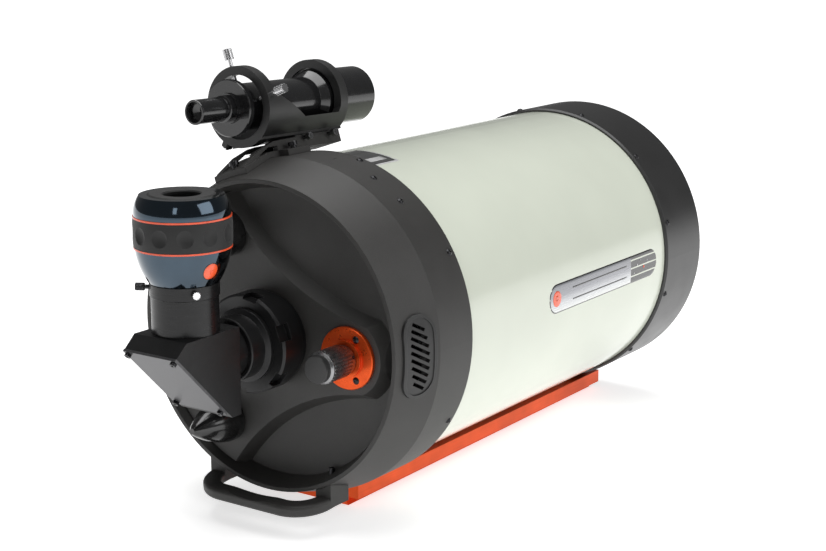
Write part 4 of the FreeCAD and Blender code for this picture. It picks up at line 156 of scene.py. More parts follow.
class TelescopeStage(bpy.types.PropertyGroup):
    """Camera and light."""
    camera_place: FloatVectorProperty(name="Camera place", description="Where the camera stands",
                                      subtype="XYZ", unit="LENGTH", default=(0.9832, -1.5087, 0.5981))
    camera_azimuth: FloatProperty(name="Camera azimuth", description="Turn of the view to the left of +Y",
                                  subtype="ANGLE", default=math.radians(34.57))
    camera_elevation: FloatProperty(name="Camera elevation", description="Height of the view",
                                    subtype="ANGLE", default=math.radians(12.95))
    lens: FloatProperty(name="Lens", description="Focal length in millimetres", default=72.40)
    world: FloatProperty(name="Room light", description="Strength of the even light", default=0.14)
    top_light: FloatProperty(name="Top light", description="Watts of the overhead softbox", default=48)
    side_light: FloatProperty(name="Side light", description="Watts of the right-hand softbox", default=27)
    edge_light: FloatProperty(name="Edge light", description="Watts of the narrow softbox", default=2.5)


# ---------------------------------------------------------------- shader expressions
class Wire:
    """A socket in a material, so that shader maths reads as an expression."""

    def __init__(self, finish, socket):
        self.finish = finish
        self.socket = socket

    def maths(self, operation, *values):
        return self.finish.node("ShaderNodeMath", {"operation": operation}, dict(enumerate(values)))

    def __add__(self, other):
        return self.maths("ADD", self, other)

    def __sub__(self, other):
        return self.maths("SUBTRACT", self, other)

    def __rsub__(self, other):
        return self.maths("SUBTRACT", other, self)

    def __mul__(self, other):
        return self.maths("MULTIPLY", self, other)

    def over(self, other):
        """1 where this is greater than the other value."""
        return self.maths("GREATER_THAN", self, other)

    def ramp(self, low, high, start=0.0, end=1.0):
        """This value taken from low..high to start..end, held at both ends."""
        return self.finish.node("ShaderNodeMapRange", {"clamp": True},
                                {0: self, 1: low, 2: high, 3: start, 4: end})

    def part(self, name):
        """One of X, Y and Z of a vector."""
        return self.finish.node("ShaderNodeSeparateXYZ", {}, {0: self}, name)


class Finish:
    """A material under construction: a principled surface and the nodes that vary it."""

    def __init__(self, name, **fixed):
        self.material = bpy.data.materials.new(name)
        self.material.use_nodes = True
        self.tree = self.material.node_tree
        self.tree.nodes.clear()
        self.shader = self.tree.nodes.new("ShaderNodeBsdfPrincipled")
        output = self.tree.nodes.new("ShaderNodeOutputMaterial")
        self.tree.links.new(self.shader.outputs[0], output.inputs[0])
        for socket, value in fixed.items():
            self.shader.inputs[socket.replace("_", " ")].default_value = value
        self.place = self.node("ShaderNodeTexCoord", {}, {}, "Object")

    def node(self, kind, settings, values, out=0):
        """Add a node: its settings first, then its sockets' values or links."""
        made = self.tree.nodes.new(kind)
        for key, value in settings.items():
            if key == "stops":
                self.set_stops(made.color_ramp, value)
            else:
                setattr(made, key, value)
        for key, value in values.items():
            self.feed(made.inputs[key], value)
        return Wire(self, made.outputs[out])

    def set_stops(self, ramp, stops):
        """Colours of a ramp as (position, colour)."""
        while len(ramp.elements) < len(stops):
            ramp.elements.new(0.5)
        for element, (position, colour) in zip(ramp.elements, stops):
            element.position = position
            element.color = (*colour, 1)

    def feed(self, socket, value):
        """Link a wire to a socket, or set its own value."""
        if isinstance(value, Wire):
            self.tree.links.new(value.socket, socket)
        elif socket.type == "RGBA" and len(value) == 3:
            socket.default_value = (*value, 1)
        else:
            socket.default_value = value

    def set(self, name, value):
        """Give the surface a value or a varying wire."""
        self.feed(self.shader.inputs[name], value)

    def stretched(self, stretch):
        """The object's coordinates scaled differently along each axis."""
        return self.node("ShaderNodeVectorMath", {"operation": "MULTIPLY"}, {0: self.place, 1: stretch})

    def noise(self, scale, detail=2.0, roughness=0.5, stretch=None):
        """Even noise; scale is in features per metre."""
        vector = self.stretched(stretch) if stretch else self.place
        return self.node("ShaderNodeTexNoise", {}, {"Vector": vector, "Scale": scale, "Detail": detail,
                                                    "Roughness": roughness}, "Fac")

    def mix(self, factor, first, second):
        """Blend of two colours."""
        return self.node("ShaderNodeMix", {"data_type": "RGBA"}, {0: factor, 6: first, 7: second}, 2)

    def edges(self, radius):
        """Normal rounded at the edges, and a mask of where it differs from the flat surface."""
        soft = self.node("ShaderNodeBevel", {"samples": 4}, {"Radius": radius})
        true = self.node("ShaderNodeNewGeometry", {}, {}, "Normal")
        facing = self.node("ShaderNodeVectorMath", {"operation": "DOT_PRODUCT"}, {0: soft, 1: true}, "Value")
        return soft, facing.ramp(0.995, 0.86)

    def bump(self, height, depth, normal=None):
        """Relief of a given depth in metres, fed to the surface's normal."""
        values = {"Height": height, "Distance": depth}
        if normal:
            values["Normal"] = normal
        self.set("Normal", self.node("ShaderNodeBump", {}, values))

    def distance_from_axis(self):
        """Distance of a point from the tube's axis."""
        across = self.node("ShaderNodeVectorMath", {"operation": "MULTIPLY_ADD"},
                           {0: self.place, 1: (1, 0, 1), 2: (0, 0, -AXIS_HEIGHT)})
        return self.node("ShaderNodeVectorMath", {"operation": "LENGTH"}, {0: across}, "Value")


def shade(colour, factor):
    """A colour made lighter or darker."""
    return tuple(channel * factor for channel in colour)


# ---------------------------------------------------------------- finishes
def enamel(settings):
    """Gloss enamel outside, matt black inside the tube."""
    finish = Finish("tube_enamel", Coat_Weight=0.35, Coat_Roughness=0.04, Specular_IOR_Level=0.5)
    inside = 1 - finish.distance_from_axis().over(TUBE_RADIUS - 1 * MM)
    drift = finish.noise(7, 3).ramp(0.35, 0.65)
    dust = finish.noise(900, 2).ramp(0.62, 0.8)
    paint = finish.mix(drift, shade(settings.tube, 0.97), shade(settings.tube, 1.03))
    paint = finish.mix(dust * 0.12, paint, shade(settings.tube, 0.8))
    finish.set("Base Color", finish.mix(inside, paint, (0.012, 0.012, 0.012)))
    finish.set("Roughness", inside * 0.5 + finish.noise(25, 3).ramp(0.3, 0.7, 0.15, 0.22))
    finish.bump(finish.noise(260, 2), 0.012 * MM)
    return finish.material


def textured_paint(settings):
    """Fine-grained paint over a casting, rubbed a little at its edges."""
    finish = Finish("casting_paint", Specular_IOR_Level=0.45)
    soft, worn = finish.edges(0.9 * MM)
    grain = finish.noise(1500, 2, 0.7)
    clouds = finish.noise(16, 4)
    paint = finish.mix(clouds.ramp(0.35, 0.65), shade(settings.casting, 0.85), shade(settings.casting, 1.15))
    paint = finish.mix(grain.ramp(0.45, 0.75) * 0.55, paint, shade(settings.casting, 2.2))
    rubbed = worn * finish.noise(120, 3).ramp(0.42, 0.62)
    finish.set("Base Color", finish.mix(rubbed * 0.45, paint, shade(settings.casting, 3.0)))
    finish.set("Roughness", grain.ramp(0.3, 0.7, 0.44, 0.62) - worn * 0.1)
    finish.bump(grain + finish.noise(520, 2) * 0.8, 0.11 * MM, soft)
    return finish.material


def satin_paint(settings):
    """Smooth satin black paint."""
    finish = Finish("front_ring_paint", Specular_IOR_Level=0.5, Coat_Weight=0.12, Coat_Roughness=0.3)
    soft, worn = finish.edges(0.7 * MM)
    clouds = finish.noise(20, 4)
    paint = finish.mix(clouds, shade(settings.ring, 0.8), shade(settings.ring, 1.25))
    rubbed = worn * finish.noise(150, 3).ramp(0.45, 0.6)
    finish.set("Base Color", finish.mix(rubbed * 0.4, paint, (0.09, 0.09, 0.09)))
    finish.set("Roughness", clouds.ramp(0.3, 0.7, 0.3, 0.4))
    finish.bump(finish.noise(900, 2), 0.02 * MM, soft)
    return finish.material


def anodised(name, colour, roughness, lines, edge_colour, metallic=0.75):
    """Anodised aluminium with the fine lines its machining or drawing left."""
    finish = Finish(name, Specular_IOR_Level=0.5)
    soft, worn = finish.edges(0.5 * MM)
    grain = finish.noise(60, 4, 0.6, lines)
    clouds = finish.noise(30, 3)
    tint = finish.mix(clouds.ramp(0.3, 0.7), shade(colour, 0.86), shade(colour, 1.12))
    tint = finish.mix(grain.ramp(0.35, 0.65) * 0.3, tint, shade(colour, 0.7))
    rubbed = worn * finish.noise(180, 3).ramp(0.4, 0.6)
    finish.set("Base Color", finish.mix(rubbed * 0.35, tint, edge_colour))
    finish.set("Metallic", metallic)
    finish.set("Roughness", grain.ramp(0.3, 0.7, roughness - 0.05, roughness + 0.07))
    finish.bump(grain, 0.02 * MM, soft)
    return finish.material


def turned_metal(name, colour, roughness, edge_colour, lines=(1, 25, 1), metallic=1.0):
    """Bare or plated metal with turning marks and a few scratches."""
    finish = Finish(name)
    soft, worn = finish.edges(0.3 * MM)
    marks = finish.noise(90, 3, 0.6, lines)
    scratches = finish.noise(40, 5, 0.75, (1, 14, 3)).ramp(0.6, 0.66)
    tint = finish.mix(marks.ramp(0.3, 0.7), shade(colour, 0.85), shade(colour, 1.1))
    finish.set("Base Color", finish.mix(worn * 0.5, tint, edge_colour))
    finish.set("Metallic", metallic)
    finish.set("Roughness", marks.ramp(0.3, 0.7, roughness, roughness + 0.08) + scratches * 0.1)
    finish.bump(marks, 0.008 * MM, soft)
    return finish.material


def mirror_gloss(settings):
    """Dark blue plated shell with a lacquer coat."""
    finish = Finish("shell_blue", Metallic=1.0, Coat_Weight=0.6, Coat_Roughness=0.03)
    clouds = finish.noise(45, 3)
    finish.set("Base Color", finish.mix(clouds.ramp(0.3, 0.7), shade(settings.shell, 0.92),
                                        shade(settings.shell, 1.08)))
    finish.set("Roughness", finish.noise(300, 3).ramp(0.3, 0.75, 0.06, 0.13))
    finish.bump(finish.noise(240, 2), 0.004 * MM)
    return finish.material


def rubber(settings):
    """Matt moulded rubber."""
    finish = Finish("grip_rubber", Specular_IOR_Level=0.35, Sheen_Weight=0.08)
    soft, worn = finish.edges(0.5 * MM)
    pores = finish.noise(2200, 3, 0.6)
    clouds = finish.noise(40, 4)
    tint = finish.mix(clouds, shade(settings.rubber, 0.8), shade(settings.rubber, 1.5))
    finish.set("Base Color", finish.mix(worn * 0.3, tint, (0.05, 0.05, 0.05)))
    finish.set("Roughness", clouds.ramp(0.3, 0.7, 0.5, 0.66))
    finish.bump(pores, 0.05 * MM, soft)
    return finish.material


def moulded(name, colour, roughness, coat=0.0):
    """Moulded plastic or gloss paint with fine grain."""
    finish = Finish(name, Specular_IOR_Level=0.5, Coat_Weight=coat, Coat_Roughness=0.06)
    soft, worn = finish.edges(0.4 * MM)
    clouds = finish.noise(50, 4)
    grain = finish.noise(1300, 2)
    tint = finish.mix(clouds.ramp(0.3, 0.7), shade(colour, 0.85), shade(colour, 1.2))
    finish.set("Base Color", finish.mix(worn * 0.3, tint, tuple(channel * 1.6 + 0.02 for channel in colour)))
    finish.set("Roughness", clouds.ramp(0.3, 0.7, roughness, roughness + 0.08))
    finish.bump(grain, 0.02 * MM, soft)
    return finish.material


def brushed_plate():
    """Dark grey cover plate with a fine linear brush."""
    finish = Finish("cover_plate", Metallic=0.8)
    soft, worn = finish.edges(0.4 * MM)
    brush = finish.noise(55, 4, 0.65, (40, 1.2, 1.2))
    finish.set("Base Color", finish.mix(brush.ramp(0.3, 0.7), (0.075, 0.075, 0.078), (0.135, 0.135, 0.14)))
    finish.set("Roughness", brush.ramp(0.3, 0.7, 0.34, 0.46) - worn * 0.08)
    finish.bump(brush, 0.012 * MM, soft)
    return finish.material


def coated_glass(name, tint, strength):
    """Clear glass with a faint coloured anti-reflection coat."""
    finish = Finish(name, Transmission_Weight=strength, IOR=1.5, Coat_Weight=0.3, Coat_Roughness=0.02)
    haze = finish.noise(30, 4)
    finish.set("Base Color", finish.mix(haze.ramp(0.3, 0.7), tint, shade(tint, 0.93)))
    finish.set("Roughness", haze.ramp(0.35, 0.8, 0.0, 0.035))
    finish.bump(finish.noise(15, 2), 0.002 * MM)
    return finish.material


def silvered():
    """Mirror coating with the faintest haze."""
    finish = Finish("silvered_mirror", Metallic=1.0)
    haze = finish.noise(35, 4)
    finish.set("Base Color", finish.mix(haze, (0.86, 0.88, 0.9), (0.93, 0.94, 0.95)))
    finish.set("Roughness", haze.ramp(0.4, 0.8, 0.015, 0.05))
    finish.bump(haze, 0.001 * MM)
    return finish.material


def badge_enamel(low, high):
    """Grey field that runs from light at the bottom to dark at the top."""
    finish = Finish("badge_field", Coat_Weight=0.8, Coat_Roughness=0.05, Metallic=0.25)
    brush = finish.noise(80, 3, 0.6, (1, 0.6, 12))
    rise = finish.place.part("Z").ramp(low, high) + brush * 0.06
    field = finish.node("ShaderNodeValToRGB",
                        {"stops": ((0.0, (0.70, 0.72, 0.70)), (0.35, (0.50, 0.51, 0.53)),
                                   (0.6, (0.24, 0.245, 0.27)), (1.0, (0.16, 0.165, 0.18)))}, {0: rise})
    finish.set("Base Color", field)
    finish.set("Roughness", brush.ramp(0.3, 0.7, 0.2, 0.3))
    finish.bump(brush, 0.004 * MM)
    return finish.material


# ---------------------------------------------------------------- mesh helpers
def new_piece(name, mesh_builder, material, body):
    """Object from a bmesh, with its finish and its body."""
    mesh = bpy.data.meshes.new(name)
    mesh_builder.normal_update()
    mesh_builder.to_mesh(mesh)
    mesh_builder.free()
    for face in mesh.polygons:
        face.use_smooth = True
    piece = bpy.data.objects.new(name, mesh)
    bpy.context.scene.collection.objects.link(piece)
    mesh.materials.append(material)
    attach(piece, body)
    return piece


def lofted_grid(rows, closed=False):
    """Mesh of quads through rows of points."""
    mesh = bmesh.new()
    grid = [[mesh.verts.new(point) for point in row] for row in rows]
    for lower, upper in zip(grid, grid[1:]):
        for index in range(len(lower) - (0 if closed else 1)):
            after = (index + 1) % len(lower)
            mesh.faces.new((lower[index], lower[after], upper[after], upper[index]))
    return mesh


def disc_mesh(rings):
    """Mesh through closed rings of points, from the inside out, with the first ring filled."""
    mesh = lofted_grid(rings, True)
    mesh.faces.new(list(mesh.verts)[:len(rings[0])])
    return mesh


def thicken(piece, thickness, edge, offset=1):
    """Give a laid skin its thickness and a softened edge; offset 1 grows it along its normals."""
    solid = piece.modifiers.new("thickness", "SOLIDIFY")
    solid.thickness = thickness
    solid.offset = offset
    bevel = piece.modifiers.new("edge", "BEVEL")
    bevel.width = edge
    bevel.segments = 2
    bevel.limit_method = "ANGLE"


def on_tube(y, arc, lift):
    """Point on the tube's side: y along the tube, arc length round it, lift off its paint."""
    angle = arc / TUBE_RADIUS
    radius = TUBE_RADIUS + lift
    return Vector((radius * math.cos(angle), y, AXIS_HEIGHT + radius * math.sin(angle)))


def disc_on_tube(along, arc, radius, shares, sides, lift):
    """Round patch on the tube's side, with a ring at each share of its radius."""
    turns = [2 * math.pi * side / sides for side in range(sides)]
    return disc_mesh([[on_tube(along + radius * share * math.cos(turn),
                               arc + radius * share * math.sin(turn), lift)
                       for turn in turns] for share in shares])


def stadium_patch(trim, inset, first, last, lift, columns=56, rows=10):
    """Part of the badge's rounded outline, laid on the tube from first to last share of its length."""
    half = trim.badge_height / 2 - inset
    start = REAR_SEAM + trim.badge_start + inset
    length = trim.badge_length - 2 * inset
    middle = trim.badge_angle * TUBE_RADIUS
    tip = 0.02 * MM  # keeps the first and last columns from closing to a point
    grid = []
    for column in range(columns + 1):
        share = first + (last - first) * (0.5 - 0.5 * math.cos(math.pi * column / columns))
        along = min(max(share * length, tip), length - tip)
        short = min(along, length - along)
        reach = half if short >= half else math.sqrt(half ** 2 - (half - short) ** 2)
        grid.append([on_tube(start + along, middle + reach * (2 * row / rows - 1), lift)
                     for row in range(rows + 1)])
    return lofted_grid(grid)


# ---------------------------------------------------------------- operators
def finish_nodes(material, *nodes):
    """Give CAD nodes their finish."""
    for node in nodes:
        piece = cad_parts[node]
        piece.data.materials.clear()
        piece.data.materials.append(material)


class TELESCOPE_OT_tube(bpy.types.Operator):
    """Paint the tube, both cells, the shoe and the handle"""
    bl_idname = "telescope.tube"
    bl_label = "Tube and cells"

    def execute(self, context):
        settings = context.scene.telescope_finishes
        finish_nodes(enamel(settings), "main_tube")
        finish_nodes(textured_paint(settings), "rear_cell", "finder_shoe", "rear_handle")
        finish_nodes(satin_paint(settings), "front_cell")
        vents = moulded("vent_plastic", (0.011, 0.011, 0.011), 0.34)
        finish_nodes(vents, "vent_grille_left", "vent_grille_right")
        return {"FINISHED"}


class TELESCOPE_OT_anodised_parts(bpy.types.Operator):
    """Finish the black and the orange anodised parts"""
    bl_idname = "telescope.anodised_parts"
    bl_label = "Anodised parts"

    def execute(self, context):
        settings = context.scene.telescope_finishes
        edge = (0.11, 0.11, 0.11)
        turned = anodised("black_turned", settings.black, 0.36, (1, 14, 1), edge, 0.3)
        finish_nodes(turned, "visual_ring", "visual_back", "diagonal_nose", "primary_baffle",
                     "corrector_ring", "secondary_holder", "secondary_holder_nut",
                     "secondary_cap_ring", "secondary_cell", "mirror_carrier")
        upright = anodised("black_upright", settings.black, 0.3, (1, 1, 14), edge, 0.3)
        finish_nodes(upright, "eyepiece_holder")
        milled = anodised("black_milled", settings.black, 0.42, (3, 3, 3), edge, 0.3)
        finish_nodes(milled, "diagonal_body")
        drawn = anodised("orange_drawn", settings.accent, 0.34, (16, 0.4, 16), (0.95, 0.35, 0.12))
        finish_nodes(drawn, "dovetail_bar")
        faced = anodised("orange_faced", settings.accent, 0.3, (4, 30, 4), (0.95, 0.35, 0.12))
        finish_nodes(faced, "focus_flange")
        finish_nodes(brushed_plate(), "diagonal_cover")
        return {"FINISHED"}


class TELESCOPE_OT_knobs(bpy.types.Operator):
    """Finish the focus knob and both mirror clutches"""
    bl_idname = "telescope.knobs"
    bl_label = "Knobs and clutches"

    def execute(self, context):
        finish_nodes(turned_metal("gunmetal", (0.30, 0.30, 0.305), 0.24, (0.65, 0.65, 0.65)), "focus_knob")
        finish_nodes(moulded("knob_cap_black", (0.012, 0.012, 0.012), 0.32), "knob_cap")
        domes = moulded("clutch_gloss", (0.008, 0.008, 0.008), 0.16, 0.5)
        finish_nodes(domes, "clutch_knob_upper", "clutch_knob_lower")
        return {"FINISHED"}


class TELESCOPE_OT_eyepiece(bpy.types.Operator):
    """Finish the eyepiece"""
    bl_idname = "telescope.eyepiece"
    bl_label = "Eyepiece"

    def execute(self, context):
        settings = context.scene.telescope_finishes
        finish_nodes(mirror_gloss(settings), "eyepiece_body", "eyepiece_twist_ring")
        finish_nodes(rubber(settings), "eyepiece_grip", "eyecup", "finder_o_ring")
        finish_nodes(moulded("orange_band", (0.72, 0.075, 0.02), 0.26, 0.3), "eyepiece_bands")
        finish_nodes(turned_metal("barrel_chrome", (0.72, 0.72, 0.73), 0.1, (0.9, 0.9, 0.9), (1, 1, 20)),
                     "eyepiece_barrel")
        return {"FINISHED"}


class TELESCOPE_OT_optics(bpy.types.Operator):
    """Finish the corrector, lenses and mirrors"""
    bl_idname = "telescope.optics"
    bl_label = "Optics"

    def execute(self, context):
        finish_nodes(coated_glass("corrector_glass", (0.93, 0.97, 0.97), 0.96), "corrector_plate")
        finish_nodes(coated_glass("lens_glass", (0.80, 0.92, 0.86), 0.92), "eyepiece_lenses",
                     "finder_objective")
        finish_nodes(silvered(), "primary_mirror", "secondary_mirror", "diagonal_mirror")
        return {"FINISHED"}


class TELESCOPE_OT_finder(bpy.types.Operator):
    """Finish the finder and its bracket"""
    bl_idname = "telescope.finder"
    bl_label = "Finder"

    def execute(self, context):
        gloss = moulded("finder_gloss", (0.007, 0.007, 0.0075), 0.15, 0.5)
        finish_nodes(gloss, "finder_tube", "finder_objective_cell", "finder_rear_plate", "finder_eyepiece")
        satin = moulded("bracket_satin", (0.012, 0.012, 0.012), 0.4)
        finish_nodes(satin, "finder_bracket", "finder_lock_ring")
        return {"FINISHED"}


class TELESCOPE_OT_fasteners(bpy.types.Operator):
    """Finish every screw, bolt and thumbscrew"""
    bl_idname = "telescope.fasteners"
    bl_label = "Fasteners"

    def execute(self, context):
        oxide = turned_metal("black_oxide", (0.035, 0.035, 0.037), 0.26, (0.3, 0.3, 0.3))
        finish_nodes(oxide, "small_screws", "corrector_ring_screws", "collimation_screws", "cover_screws",
                     "socket_screws", "holder_thumbscrew")
        bright = turned_metal("bright_plate", (0.66, 0.66, 0.67), 0.14, (0.9, 0.9, 0.9))
        finish_nodes(bright, "holder_side_screw", "align_screw_upper", "align_screw_side", "plunger",
                     "focus_screw")
        dull = turned_metal("dull_plate", (0.2, 0.2, 0.205), 0.24, (0.5, 0.5, 0.5))
        finish_nodes(dull, "visual_back_screw_upper", "visual_back_screw_lower", "shoe_clamp_screw_rear",
                     "shoe_clamp_screw_front")
        return {"FINISHED"}


class TELESCOPE_OT_badge(bpy.types.Operator):
    """Lay the long rounded badge on the tube's side"""
    bl_idname = "telescope.badge"
    bl_label = "Side badge"

    def execute(self, context):
        trim = context.scene.telescope_trim
        black = moulded("badge_black", (0.008, 0.008, 0.008), 0.18, 0.6)
        orange = moulded("badge_orange", (0.80, 0.09, 0.02), 0.22, 0.6)
        pale = moulded("badge_pale", (0.55, 0.55, 0.56), 0.25, 0.6)
        backing = new_piece("badge_backing", stadium_patch(trim, 0, 0, 1, BACKING_LIFT), black,
                            "ota")
        thicken(backing, BACKING_THICKNESS, BACKING_EDGE)
        middle = AXIS_HEIGHT + TUBE_RADIUS * math.sin(trim.badge_angle)
        field_finish = badge_enamel(middle - trim.badge_height / 2, middle + trim.badge_height / 2)
        field = new_piece("badge_field", stadium_patch(trim, trim.badge_border, 0, FIELD_END, FIELD_LIFT),
                          field_finish, "ota")
        thicken(field, FIELD_THICKNESS, FIELD_EDGE)
        start = REAR_SEAM + trim.badge_start
        middle_arc = trim.badge_angle * TUBE_RADIUS
        self.dot(trim, start, middle_arc, orange)
        self.lines(trim, start, middle_arc)
        self.points(trim, start, middle_arc, orange, pale)
        return {"FINISHED"}

    def dot(self, trim, start, middle_arc, orange):
        """Plain round dot at the badge's rear end."""
        mesh = disc_on_tube(start + trim.badge_height / 2, middle_arc, trim.badge_height * DOT_RADIUS,
                            (0.25, 0.5, 0.75, 1.0), 40, PRINT_LIFT)
        piece = new_piece("badge_dot", mesh, orange, "ota")
        thicken(piece, PRINT_THICKNESS, PRINT_EDGE)

    def lines(self, trim, start, middle_arc):
        """Two plain lines along the badge's field."""
        first = start + trim.badge_length * LINE_START
        last = start + trim.badge_length * LINE_END
        steps = 40
        for name, offset in (("badge_line_upper", LINE_OFFSET), ("badge_line_lower", -LINE_OFFSET)):
            middle = middle_arc + offset * trim.badge_height
            rows = [[on_tube(first + (last - first) * step / steps,
                             middle + side * LINE_HALF_WIDTH, PRINT_LIFT)
                     for side in (-1, 0, 1)] for step in range(steps + 1)]
            dark = moulded(name + "_black", (0.012, 0.012, 0.012), 0.25, 0.5)
            piece = new_piece(name, lofted_grid(rows), dark, "ota")
            thicken(piece, PRINT_THICKNESS, PRINT_EDGE)

    def points(self, trim, start, middle_arc, orange, pale):
        """Plain row of round points of different sizes on the black end of the badge."""
        for index, (rise, radius) in enumerate(zip(POINT_RISES, POINT_RADII)):
            along = start + trim.badge_length * (POINTS_START + POINT_PITCH * index)
            mesh = disc_on_tube(along, middle_arc + rise * trim.badge_height, radius,
                                (0.3, 0.65, 1.0), 24, POINT_LIFT)
            finish = orange if index == ORANGE_POINT else pale
            piece = new_piece(f"badge_point_{index + 1}", mesh, finish, "ota")
            thicken(piece, POINT_THICKNESS, POINT_EDGE)


class TELESCOPE_OT_label(bpy.types.Operator):
    """Lay the small plain label on the tube's top"""
    bl_idname = "telescope.label"
    bl_label = "Top label"

    def execute(self, context):
        silver = moulded("label_silver", (0.42, 0.42, 0.42), 0.3)
        dark = moulded("label_dark", (0.05, 0.05, 0.05), 0.3)
        start = REAR_SEAM + LABEL_START
        end = start + context.scene.telescope_trim.label_length
        margin_turn, stripe_turn = LABEL_MARGIN / TUBE_RADIUS, LABEL_STRIPE / TUBE_RADIUS
        self.patch("label_plate", silver, (start, end), (LABEL_LOW, LABEL_HIGH), PLATE_LIFT, PLATE_THICKNESS)
        self.patch("label_panel", dark, (start + LABEL_MARGIN, end - LABEL_MARGIN),
                   (LABEL_LOW + margin_turn, LABEL_HIGH - margin_turn), PANEL_LIFT, PANEL_THICKNESS)
        self.patch("label_stripe", silver, (start + LABEL_STRIPE, end - LABEL_STRIPE),
                   (LABEL_LOW + stripe_turn, LABEL_LOW + 2 * stripe_turn), STRIPE_LIFT, STRIPE_THICKNESS)
        return {"FINISHED"}

    def patch(self, name, material, ends, turns, lift, thickness):
        """Rectangle laid on the tube between two places along it and two angles round it."""
        start, end = ends
        low, high = turns
        rows_round, columns = 24, 6
        rows = [[on_tube(start + (end - start) * column / columns,
                         (low + (high - low) * row / rows_round) * TUBE_RADIUS, lift)
                 for column in range(columns + 1)] for row in range(rows_round + 1)]
        piece = new_piece(name, lofted_grid(rows), material, "ota")
        thicken(piece, thickness, thickness * 0.3, -1)


class TELESCOPE_OT_emblem(bpy.types.Operator):
    """Lay the plain round dot on the eyepiece's lower shell"""
    bl_idname = "telescope.emblem"
    bl_label = "Eyepiece dot"

    def execute(self, context):
        trim = context.scene.telescope_trim
        shell_low, shell_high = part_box("eyepiece_body")
        orange = moulded("dot_orange", (0.80, 0.09, 0.02), 0.2, 0.6)
        black = moulded("dot_rim", (0.01, 0.01, 0.01), 0.2, 0.5)
        height = shell_low.z + EMBLEM_RISE * (shell_high.z - shell_low.z)
        radius = trim.emblem_width / 2
        self.patch("eyepiece_dot_rim", black, height, radius + EMBLEM_RIM, EMBLEM_RIM_LIFT)
        self.patch("eyepiece_dot", orange, height, radius, EMBLEM_DOT_LIFT)
        return {"FINISHED"}

    def patch(self, name, material, height, radius, lift):
        """Round patch wrapped on the shell by casting its points onto it."""
        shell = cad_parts["eyepiece_body"]
        outward = Vector((math.cos(EMBLEM_AZIMUTH), math.sin(EMBLEM_AZIMUTH), 0))
        across = Vector((-outward.y, outward.x, 0))
        centre = Vector((EYEPIECE_AXIS.x, EYEPIECE_AXIS.y, height))
        sides = 40
        rings = []
        for share in (0.2, 0.4, 0.6, 0.8, 1.0):
            ring = []
            for side in range(sides):
                turn = 2 * math.pi * side / sides
                start = centre + outward * OUTSIDE_SHELL + across * (radius * share * math.cos(turn))
                start.z += radius * share * math.sin(turn)
                hit, place, normal, _ = shell.ray_cast(start, -outward)
                if not hit:
                    raise RuntimeError(f"{name}: the shell was missed")
                ring.append(place + normal * lift)
            rings.append(ring)
        piece = new_piece(name, disc_mesh(rings), material, "eyepiece")
        thicken(piece, PRINT_THICKNESS, PRINT_EDGE)


class TELESCOPE_OT_grub_screws(bpy.types.Operator):
    """Set small socket screws into the focus knob's front collar"""
    bl_idname = "telescope.grub_screws"
    bl_label = "Grub screws"

    def execute(self, context):
        count = context.scene.telescope_trim.grub_screws
        low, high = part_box("focus_knob")
        oxide = bpy.data.materials["black_oxide"]
        seat = (high.x - low.x) / 2 - COLLAR_STEP - GRUB_SINK
        middle = Vector((KNOB_AXIS.x, high.y - GRUB_FROM_FRONT, KNOB_AXIS.z))
        along = Vector((0, 1, 0))
        sides = 24
        sweep = [2 * math.pi * side / sides for side in range(sides)]
        for index in range(count):
            turn = 2 * math.pi * index / count + GRUB_FIRST_TURN
            outward = Vector((math.cos(turn), 0, math.sin(turn)))
            across = Vector((-outward.z, 0, outward.x))
            centre = middle + outward * seat
            rows = [[centre + across * (radius * MM * math.cos(angle))
                     + along * (radius * MM * math.sin(angle))
                     + outward * (rise * MM) for angle in sweep] for radius, rise in GRUB_PROFILE]
            new_piece(f"grub_screw_{index + 1}", lofted_grid(rows, True), oxide, "focus_knob")
        return {"FINISHED"}


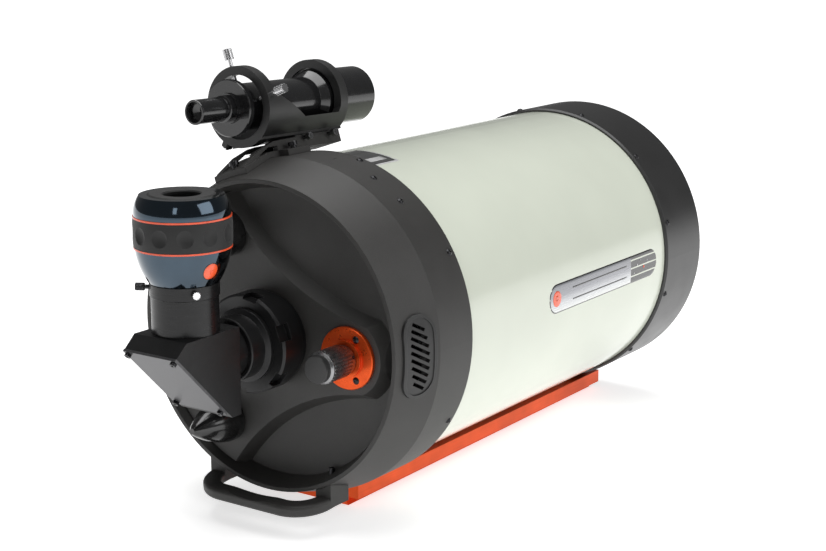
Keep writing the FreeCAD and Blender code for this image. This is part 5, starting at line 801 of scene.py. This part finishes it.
class TELESCOPE_OT_stage(bpy.types.Operator):
    """Set the floor, the lights and the camera"""
    bl_idname = "telescope.stage"
    bl_label = "Stage"

    def execute(self, context):
        stage = context.scene.telescope_stage
        self.floor()
        self.room(context.scene, stage)
        for name, place, target, size, watts in SOFTBOXES:
            self.softbox(name, place, target, size, getattr(stage, watts))
        self.camera(context.scene, stage)
        return {"FINISHED"}

    def floor(self):
        """Large pale floor that glows white away from the telescope."""
        mesh = bmesh.new()
        bmesh.ops.create_grid(mesh, x_segments=8, y_segments=8, size=FLOOR_HALF_SIZE)
        data = bpy.data.meshes.new("floor")
        mesh.to_mesh(data)
        mesh.free()
        floor = bpy.data.objects.new("floor", data)
        floor.location.z = -FLOOR_DROP
        bpy.context.scene.collection.objects.link(floor)
        finish = Finish("floor_white", Roughness=0.9, Specular_IOR_Level=0.1, Emission_Strength=1.0)
        away = finish.node("ShaderNodeVectorMath", {"operation": "LENGTH"}, {0: finish.place}, "Value")
        glow = finish.mix(away.ramp(FLOOR_NEAR, FLOOR_FAR), (0.66, 0.66, 0.66), (1, 1, 1))
        finish.set("Emission Color", glow)
        finish.set("Base Color", finish.mix(finish.noise(3, 2), (0.80, 0.80, 0.80), (0.82, 0.82, 0.82)))
        data.materials.append(finish.material)

    def room(self, scene, stage):
        """Even light from all round."""
        world = bpy.data.worlds.new("room")
        world.use_nodes = True
        background = world.node_tree.nodes["Background"]
        background.inputs["Color"].default_value = (1, 1, 1, 1)
        background.inputs["Strength"].default_value = stage.world
        scene.world = world
        scene.view_settings.view_transform = "Standard"

    def softbox(self, name, place, target, size, watts):
        """Rectangular soft light pointed at a target."""
        lamp = bpy.data.lights.new(name, "AREA")
        lamp.shape = "RECTANGLE"
        lamp.size, lamp.size_y = size
        lamp.energy = watts
        holder = bpy.data.objects.new(name, lamp)
        holder.location = place
        holder.rotation_euler = (Vector(target) - Vector(place)).to_track_quat("-Z", "Y").to_euler()
        bpy.context.scene.collection.objects.link(holder)

    def camera(self, scene, stage):
        """Camera from its place, azimuth and elevation."""
        azimuth, elevation = stage.camera_azimuth, stage.camera_elevation
        look = Vector((-math.sin(azimuth) * math.cos(elevation), math.cos(azimuth) * math.cos(elevation),
                       -math.sin(elevation)))
        data = bpy.data.cameras.new("camera")
        data.lens = stage.lens
        data.sensor_width = 36
        data.clip_end = 200
        camera = bpy.data.objects.new("camera", data)
        camera.location = stage.camera_place
        camera.rotation_euler = look.to_track_quat("-Z", "Y").to_euler()
        scene.collection.objects.link(camera)
        scene.camera = camera


STEPS = (TELESCOPE_OT_tube, TELESCOPE_OT_anodised_parts, TELESCOPE_OT_knobs, TELESCOPE_OT_eyepiece,
         TELESCOPE_OT_optics, TELESCOPE_OT_finder, TELESCOPE_OT_fasteners, TELESCOPE_OT_badge,
         TELESCOPE_OT_label, TELESCOPE_OT_emblem, TELESCOPE_OT_grub_screws, TELESCOPE_OT_stage)


class VIEW3D_PT_telescope(bpy.types.Panel):
    """Sidebar panel with the telescope's settings and steps"""
    bl_label = "Telescope"
    bl_idname = "VIEW3D_PT_telescope"
    bl_space_type = "VIEW_3D"
    bl_region_type = "UI"
    bl_category = "Telescope"

    def draw(self, context):
        for group in (context.scene.telescope_finishes, context.scene.telescope_trim,
                      context.scene.telescope_stage):
            column = self.layout.column()
            for name in group.__annotations__:
                column.prop(group, name)
        for step in STEPS:
            self.layout.operator(step.bl_idname)


CLASSES = (TelescopeFinishes, TelescopeTrim, TelescopeStage) + STEPS + (VIEW3D_PT_telescope,)


def register():
    """Register the classes and hang the settings on the scene."""
    for item in CLASSES:
        bpy.utils.register_class(item)
    bpy.types.Scene.telescope_finishes = PointerProperty(type=TelescopeFinishes)
    bpy.types.Scene.telescope_trim = PointerProperty(type=TelescopeTrim)
    bpy.types.Scene.telescope_stage = PointerProperty(type=TelescopeStage)


def unregister():
    """Undo register."""
    del bpy.types.Scene.telescope_finishes
    del bpy.types.Scene.telescope_trim
    del bpy.types.Scene.telescope_stage
    for item in reversed(CLASSES):
        bpy.utils.unregister_class(item)


def main():
    """Build everything in order."""
    register()
    for step in STEPS:
        group, name = step.bl_idname.split(".")
        getattr(getattr(bpy.ops, group), name)()


if __name__ == "__main__":
    main()
